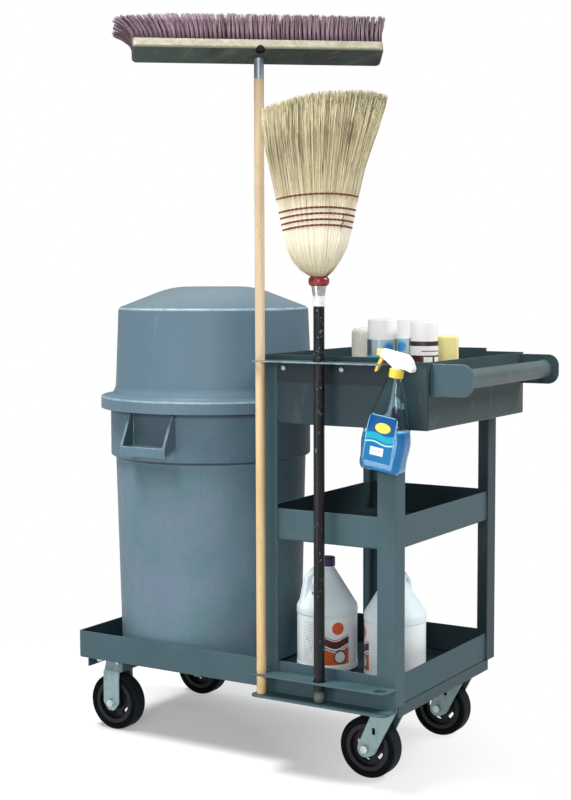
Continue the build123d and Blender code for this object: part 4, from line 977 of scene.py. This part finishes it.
def spray_label():
    """Label with round corners, laid on the bottle's front face."""
    rows, columns, outside = 44, 26, -0.2

    def ray(i, j):
        v = label_low + (label_high - label_low) * i / rows
        into = max(0.0, label_corner - min(v - label_low, label_high - v))
        half = label_half - label_corner + math.sqrt(max(0.0, label_corner ** 2 - into ** 2))
        return on_spray(label_shift + half * (2 * j / columns - 1), outside, v), spray_y

    material = label_finish("spray_label_print")
    piece = laid_label("spray_label", "spray_bottle", rows, columns, ray, material)
    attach(piece, "spray")


dress(clear_finish("clear_plastic"), "spray_bottle")


def spray_head_finish(name):
    """White moulded head; its dip tube, below the collar, is thin and greyish."""
    s = Shader(name)
    cloud = s.noise(60, 3)
    white = s.mix(cloud, (0.78, 0.77, 0.78), (0.83, 0.82, 0.82))
    tube = s.mix(s.noise(200, 2), (0.12, 0.18, 0.21), (0.20, 0.28, 0.31))
    below = s.band(s.axes()[2], 0.0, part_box("spray_collar")[0][2], 0.002)
    rounded = s.rounded(0.0012)
    return s.done(s.mix(below, white, tube), s.scaled(cloud, 0.12, 0.25), (cloud, 0.05, 0.0008, rounded))


dress(spray_head_finish("white_plastic"), "spray_head")
yellow = gloss("yellow_plastic", (0.86, 0.64, 0.06), 0.25, 0.92)
dress(yellow, "spray_collar", "spray_trigger", "spray_nozzle")
spray_liquid()
spray_label()

# Supplies
facing = math.radians(-58.5)
jug_names = ("left", "right")
milky = moulded("jug_plastic", (0.84, 0.96, 1.0), (0.79, 0.92, 0.97), (0.70, 0.79, 0.83), 0.34, 0.35,
                mottle=0.12)
dress(milky, *[f"jug_{name}" for name in jug_names])
dress(gloss("cap_blue", (0.005, 0.006, 0.085), 0.36), *[f"jug_cap_{name}" for name in jug_names])


def round_axes(s, node):
    """Angle from the middle of the shown side, and height above the foot, of a round node."""
    middle, foot = centre(node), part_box(node)[0][2]
    x, y, z = s.axes()
    angle = s.math("ARCTAN2", s.minus(y, middle.y), s.minus(x, middle.x))
    return s.minus(angle, facing), s.minus(z, foot)


def disc(s, u, v, radius, soft):
    """1 inside a circle about the origin of u and v."""
    out = s.hypot(u, v)
    return s.band(out, -1.0, radius, soft)


def jug_label_finish(name, node, design_turn):
    """Plain printed label: white, rows of thin grey rules on one side, warm shapes on the other."""
    s = Shader(name)
    angle, v = round_axes(s, node)
    u = s.times(s.minus(angle, math.radians(design_turn)), 0.083)
    ink = s.noise(140, 3)
    base = s.mix(ink, (0.88, 0.95, 0.97), (0.94, 0.99, 1.0))
    row = s.math("FRACT", s.math("DIVIDE", v, 0.0062))
    gaps = s.spots(0.44, 0.52, 330, 2, 0.5, 0.0, s.stretch((1, 1, 0.15)))
    rules = s.times(s.band(row, 0.30, 0.62, 0.1), s.band(u, -0.074, -0.030, 0.001))
    rules = s.times(s.times(rules, gaps), s.band(v, 0.032, 0.140, 0.001))
    base = s.tint(base, (0.24, 0.30, 0.34), rules, 0.75)
    within = s.band(u, -0.010, 0.062, 0.001)
    swell = s.plus(v, s.times(s.math("SINE", s.times(u, 75.0)), 0.006))
    for low, high, colour in ((0.020, 0.064, (0.80, 0.135, 0.018)), (0.067, 0.070, (0.03, 0.09, 0.42)),
                              (0.074, 0.094, (0.115, 0.030, 0.026)), (0.097, 0.099, (0.30, 0.06, 0.04))):
        stripe = s.times(within, s.band(swell, low, high, 0.0008))
        base = s.mix(stripe, base, s.mix(ink, shaded(colour, 0.88), colour))
    discs = ((0.028, 0.124, 0.017, (0.78, 0.115, 0.035)), (0.034, 0.045, 0.019, (0.06, 0.10, 0.07)),
             (0.034, 0.045, 0.015, (0.80, 0.82, 0.80)), (-0.016, 0.108, 0.006, (0.02, 0.10, 0.46)))
    for at_u, at_v, radius, colour in discs:
        spot = disc(s, s.minus(u, at_u), s.minus(v, at_v), radius, 0.0008)
        base = s.mix(spot, base, colour)
    return s.done(base, s.scaled(ink, 0.2, 0.30))


def jug_label(name, design_turn):
    """Paper label wrapped round a jug's body."""
    node = f"jug_{name}"
    middle, foot = centre(node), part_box(node)[0][2]
    low, high, reach, outside = 0.024, 0.152, math.radians(118), 0.3
    rows, columns = 20, 72

    def ray(i, j):
        z = foot + low + (high - low) * i / rows
        a = facing + reach * (2 * j / columns - 1)
        out = Vector((math.cos(a), math.sin(a), 0))
        return Vector((middle.x, middle.y, z)) + outside * out, -out

    material = jug_label_finish(f"{node}_print", node, design_turn)
    piece = laid_label(f"{node}_label", node, rows, columns, ray, material)
    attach(piece, node)


for name, design_turn in zip(jug_names, (0.0, -104.0)):
    jug_label(name, design_turn)


canister_seam, jar_seam = 0.212, 0.208


def can_finish(s, base, cloud):
    """Lacquered tin or card: scuffs and slightly rounded rims."""
    scuff = s.spots(0.64, 0.72, 70, 5, 0.7)
    base = s.tint(base, (0.6, 0.6, 0.58), scuff, 0.2)
    rounded = s.rounded(0.001)
    return s.done(base, s.scaled(cloud, 0.15, 0.26), (cloud, 0.05, 0.0006, rounded))


def canister_finish(name, node, shift):
    """White cap over a body printed with plain blue, grey and cyan fields."""
    s = Shader(name)
    angle, v = round_axes(s, node)
    u = s.scaled(angle, 0.040, shift)
    cloud = s.noise(40, 3)
    cap = s.mix(cloud, (0.97, 0.97, 0.97), (1.0, 1.0, 1.0))
    body = s.mix(cloud, (0.32, 0.54, 0.64), (0.44, 0.68, 0.78))
    for low, high, colour in ((-0.060, -0.034, (0.10, 0.13, 0.17)), (-0.034, -0.030, (0.50, 0.42, 0.36)),
                              (-0.016, -0.008, (0.74, 0.80, 0.84)), (0.030, 0.036, (0.62, 0.60, 0.44)),
                              (0.036, 0.042, (0.06, 0.07, 0.10))):
        body = s.mix(s.band(u, low, high, 0.002), body, colour)
    spot = disc(s, s.minus(u, 0.014), s.minus(v, 0.190), 0.013, 0.008)
    body = s.mix(spot, body, (0.02, 0.30, 0.78))
    foot = s.band(v, -0.1, 0.170, 0.004)
    body = s.mix(foot, body, s.mix(cloud, (0.04, 0.48, 0.82), (0.14, 0.66, 0.92)))
    return can_finish(s, s.mix(s.band(v, canister_seam, 1.0, 0.001), body, cap), cloud)


def jar_finish(name, node):
    """White cap and collar over a dark maroon body with two plain white panels."""
    s = Shader(name)
    angle, v = round_axes(s, node)
    u = s.times(angle, 0.037)
    cloud = s.noise(40, 3)
    pale = s.mix(cloud, (0.97, 0.97, 0.96), (1.0, 1.0, 0.99))
    base = s.mix(cloud, (0.055, 0.018, 0.016), (0.085, 0.026, 0.022))
    for low, high in ((-0.004, 0.020), (0.026, 0.060)):
        panel = s.times(s.band(u, low, high, 0.001), s.band(v, 0.140, 0.168, 0.001))
        base = s.mix(panel, base, pale)
    base = s.mix(s.band(v, 0.172, 0.196, 0.001), base, pale)
    thin = s.times(s.band(v, 0.181, 0.184, 0.0008), s.band(u, -0.01, 0.05, 0.001))
    base = s.mix(thin, base, (0.55, 0.06, 0.05))
    base = s.mix(s.band(v, 0.196, jar_seam, 0.001), base, (0.030, 0.018, 0.022))
    return can_finish(s, s.mix(s.band(v, jar_seam, 1.0, 0.001), base, pale), cloud)


for row, shift in (("front", 0.0), ("rear", 0.020)):
    dress(canister_finish(f"canister_{row}_skin", f"canister_{row}", shift), f"canister_{row}")
dress(jar_finish("jar_skin", "jar_can"), "jar_can")


def paper_finish(name):
    """Coarse unbleached paper: flecks, faint creases and a fine fibre bump."""
    s = Shader(name)
    crease = s.noise(60, 6, 0.7, 0.4)
    fleck = s.spots(0.60, 0.70, 420, 3, 0.6)
    tint = s.mix(s.cut(crease, 0.3, 0.7), (0.56, 0.55, 0.48), (0.70, 0.69, 0.61))
    tint = s.tint(tint, (0.22, 0.20, 0.16), fleck, 0.4)
    return s.done(tint, 0.88, (crease, 0.3, 0.0008))


def paper_roll():
    """Wound paper: layered ends, a wavering skin and the loose edge of the last turn."""
    low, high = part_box("paper_roll")
    middle, foot, head = centre("paper_roll"), low[2], high[2]
    inset, foot_inset, core, core_inset, edge = 0.001, 0.0003, 0.019, 0.03, 0.013
    outer = (high[0] - low[0]) / 2 - inset
    turns, turn_sink, turn_step = 26, 0.0004, 0.0009
    waver, overlap, loose_edge = 0.0007, 0.0011, 70
    around, side_steps, edge_steps = 128, 24, 6
    profile = [(core, foot + inset), (outer - edge, foot + foot_inset)]
    for k in range(side_steps + 1):
        profile.append((outer, foot + edge + (head - foot - 2 * edge) * k / side_steps))
    for k in range(1, edge_steps + 1):
        a = math.radians(90 * k / edge_steps)
        profile.append((outer - edge + edge * math.cos(a), head - edge + edge * math.sin(a)))
    for k in range(1, turns):
        radius = outer - edge - (outer - edge - core) * k / turns
        profile.append((radius, head - turn_sink - turn_step * (k % 2)))
    profile += [(core, head - inset), (core, head - core_inset), (core, foot + core_inset)]
    rings = []
    for radius, z in profile:
        ring = []
        for k, (ca, sa) in enumerate(circle(around)):
            out = radius
            if radius > core:
                out += waver * noise.noise(Vector((9 * ca, 9 * sa, 22 * z)))
                out -= overlap * ((k - loose_edge) % around) / around
            ring.append(Vector((middle.x + out * ca, middle.y + out * sa, z)))
        rings.append(ring)
    piece = add_mesh("paper_roll_turns", *ring_mesh(rings, caps=False, looped=True), paper_finish("paper"))
    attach(piece, "paper_roll")
    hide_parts("paper_roll")


paper_roll()


def foam_finish(name):
    """Light yellow foam with open pores."""
    s = Shader(name)
    pores = s.node("TexVoronoi", Vector=s.place["Object"], Scale=330.0)
    # The pores are painted darker: painted shade in them.
    holes = s.cut(pores, 0.0, 0.34)
    tint = s.mix(s.noise(30, 4), (1.0, 0.88, 0.36), (1.0, 0.93, 0.44))
    return s.done(s.mix(holes, (0.92, 0.76, 0.26), tint), 0.9, (holes, 0.3, 0.001))


def sponge():
    """Foam block with soft edges, slightly hollow sides and pits of many sizes."""
    half = Vector((0.031, 0.021, 0.110))
    corner, turned_by, draw_in, inset = 0.007, math.radians(20), 0.0012, 0.0002
    grid_step, pit_reach = 0.0022, 0.42
    place = Matrix.Translation(centre("sponge")) @ Matrix.Rotation(turned_by, 4, "Z")
    verts, normals, faces = rounded_box(half, corner, grid_step)
    shaped = []
    for point, normal in zip(verts, normals):
        axis = 0 if abs(normal.x) < 0.5 else 1
        hollow = draw_in
        for c, h in ((point[axis], half[axis]), (point.z, half.z)):
            hollow *= math.cos(0.5 * math.pi * c / h) ** 0.5 if abs(c) < h else 0.0
        pit = 0.0
        for scale, depth in ((150, 0.0013), (320, 0.0006)):
            near = noise.voronoi(point * scale)[0][0]
            pit += depth * max(0.0, 1 - near / pit_reach)
        shaped.append(place @ (point - (hollow + pit + inset) * normal))
    piece = add_mesh("sponge_block", shaped, faces, foam_finish("sponge_foam"))
    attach(piece, "sponge")
    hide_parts("sponge")


sponge()


# Weld beads
def bead(start, end):
    """Rippled bead between two points."""
    radius, ripple = 0.0022, 0.0024
    start, end = Vector(start), Vector(end)
    count = max(4, round((end - start).length / ripple))
    path = []
    for k in range(count + 1):
        swell = radius * (1 + 0.14 * math.sin(2.1 * k) + 0.10 * math.sin(0.7 * k + 1))
        path.append((start.lerp(end, k / count), swell * (0.6 if k in (0, count) else 1.0)))
    return path


def weld_beads():
    """Beads where the legs meet the trays, and the handle plates the top tray and the tube."""
    end_gap, shortest, ring_radius, ring = 0.008, 0.02, 0.0018, circle(60)
    plate_foot_gap, plate_head_gap = 0.004, 0.006
    paths = []
    for corner in ("front_left", "front_right", "rear_left", "rear_right"):
        low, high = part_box(f"leg_{corner}")
        front, left = corner.startswith("front"), corner.endswith("left")
        edge_x, edge_y = (high[0] if left else low[0]), (high[1] if front else low[1])
        for tray in ("deck_tray", "middle_tray", "top_tray"):
            tray_low, tray_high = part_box(tray)
            wall_x = tray_low[0] if left else tray_high[0]
            wall_y = tray_low[1] if front else tray_high[1]
            foot, head = tray_low[2] + end_gap, min(tray_high[2], high[2]) - end_gap
            if head - foot < shortest:
                continue
            paths.append(bead((edge_x, wall_y, foot), (edge_x, wall_y, head)))
            if tray != "deck_tray" or not left:
                paths.append(bead((wall_x, edge_y, foot), (wall_x, edge_y, head)))
    tube_low, tube_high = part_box("handle_tube")
    reach, hub = (tube_high[2] - tube_low[2]) / 2, centre("handle_tube")
    for row, end in (("front", tube_low[1]), ("rear", tube_high[1])):
        low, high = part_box(f"handle_plate_{row}")
        for y in (low[1], high[1]):
            foot, head = low[2] + plate_foot_gap, high[2] - plate_head_gap
            paths.append(bead((low[0], y, foot), (low[0], y, head)))
        rounds = [(hub.x + reach * ca, end, hub.z + reach * sa) for ca, sa in ring + ring[:1]]
        paths.append([(point, ring_radius) for point in rounds])
    piece = add_mesh("weld_beads", *sweep(paths, 8), steel)
    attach(piece, "cart")


weld_beads()

# Floor, light and camera
floor_middle, floor_near, floor_far, floor_glow = Vector((-0.55, -0.50)), 0.70, 1.40, 0.28


def floor_finish(name):
    """Pale floor that keeps the shadow near the object and runs out to plain white."""
    s = Shader(name)
    x, y, _ = s.axes()
    dx, dy = s.minus(x, floor_middle.x), s.minus(y, floor_middle.y)
    away = s.hypot(dx, dy)
    fade = s.climb(away, floor_near, floor_far - floor_near)
    rays = s.tree.nodes.new("ShaderNodeLightPath").outputs
    seen = s.math("MAXIMUM", rays["Is Glossy Ray"], rays["Is Transmission Ray"])
    seen = s.math("MAXIMUM", rays["Is Camera Ray"], seen)
    pale = s.mix(s.noise(2.0, 3), (0.88, 0.88, 0.89), (0.92, 0.92, 0.93))
    s.set(Base_Color=s.mix(rays["Is Diffuse Ray"], pale, (0.50, 0.50, 0.51)), Roughness=0.9)
    glow = s.node("Emission", Color=(1, 1, 1), Strength=1.0)
    share = s.scaled(fade, 1 - floor_glow, floor_glow)
    both = s.node("MixShader", Fac=s.times(share, seen), i1=s.bsdf.outputs[0], i2=glow)
    s.tree.links.new(both, s.tree.nodes["Material Output"].inputs[0])
    return s.material


floor_reach = 30.0
floor_corners = [(a * floor_reach, b * floor_reach, 0) for a, b in ((-1, -1), (1, -1), (1, 1), (-1, 1))]
add_mesh("floor", floor_corners, [(0, 1, 2, 3)], floor_finish("floor_white"), False)


def studio_world():
    """Even grey-white sky that shows as plain white."""
    world = bpy.data.worlds.new("studio")
    scene.world = world
    world.use_nodes = True
    tree = world.node_tree
    sky = tree.nodes["Background"]
    sky.inputs["Color"].default_value = (0.96, 0.98, 1.0, 1)
    sky.inputs["Strength"].default_value = 0.17
    white = tree.nodes.new("ShaderNodeBackground")
    white.inputs["Color"].default_value = (1, 1, 1, 1)
    white.inputs["Strength"].default_value = 1.0
    rays = tree.nodes.new("ShaderNodeLightPath").outputs
    either = tree.nodes.new("ShaderNodeMath")
    either.operation = "MAXIMUM"
    tree.links.new(rays["Is Camera Ray"], either.inputs[0])
    tree.links.new(rays["Is Transmission Ray"], either.inputs[1])
    swap = tree.nodes.new("ShaderNodeMixShader")
    tree.links.new(either.outputs[0], swap.inputs[0])
    tree.links.new(sky.outputs[0], swap.inputs[1])
    tree.links.new(white.outputs[0], swap.inputs[2])
    tree.links.new(swap.outputs[0], tree.nodes["World Output"].inputs[0])


studio_world()


def softbox(name, place, target, width, height, power, colour=(1, 1, 1)):
    """Rectangular studio lamp aimed at a point."""
    lamp = bpy.data.lights.new(name, "AREA")
    lamp.shape = "RECTANGLE"
    lamp.size, lamp.size_y = width, height
    lamp.energy = power
    lamp.color = colour
    holder = bpy.data.objects.new(name, lamp)
    holder.location = place
    aim = Vector(target) - Vector(place)
    holder.rotation_euler = aim.to_track_quat("-Z", "Y").to_euler()
    scene.collection.objects.link(holder)


softbox("key", (-0.8, -1.5, 4.9), (0.0, 0, 0.8), 1.5, 1.5, 285, (1.0, 0.99, 0.97))
softbox("right", (3.0, 1.5, 3.3), (0.2, 0, 0.8), 1.6, 1.6, 130)
softbox("front", (1.8, -4.0, 2.0), (0.1, 0, 0.7), 1.8, 1.4, 80)
softbox("low", (-0.6, -2.8, 0.55), (0.22, 0.1, 0.40), 1.0, 0.7, 15)


def photo_camera():
    """Camera at the photograph's viewpoint, which is known from the front right leg."""
    low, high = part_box("leg_front_right")
    data = bpy.data.cameras.new("photo_camera")
    data.sensor_fit = "AUTO"
    sensor, focal_pixels, photo_height = 36.0, 1496.2, 800
    data.sensor_width = sensor
    data.lens = sensor * focal_pixels / photo_height
    data.clip_end = 100
    camera = bpy.data.objects.new("photo_camera", data)
    scene.collection.objects.link(camera)
    azimuth, pitch, roll = math.radians(31.52), math.radians(4.61), math.radians(-0.17)
    level = math.cos(pitch)
    look = Vector((-math.sin(azimuth) * level, math.cos(azimuth) * level, -math.sin(pitch)))
    right = Vector((math.cos(azimuth), math.sin(azimuth), 0))
    upright = right.cross(look)
    level_right = math.cos(roll) * right + math.sin(roll) * upright
    level_up = -math.sin(roll) * right + math.cos(roll) * upright
    turned = Matrix((level_right, level_up, -look)).transposed()
    to_right, to_front, eye_height = 1.6802, 3.2579, 1.2855
    place = Matrix.Translation((high[0] + to_right, low[1] - to_front, eye_height))
    camera.matrix_world = place @ turned.to_4x4()
    scene.camera = camera


photo_camera()
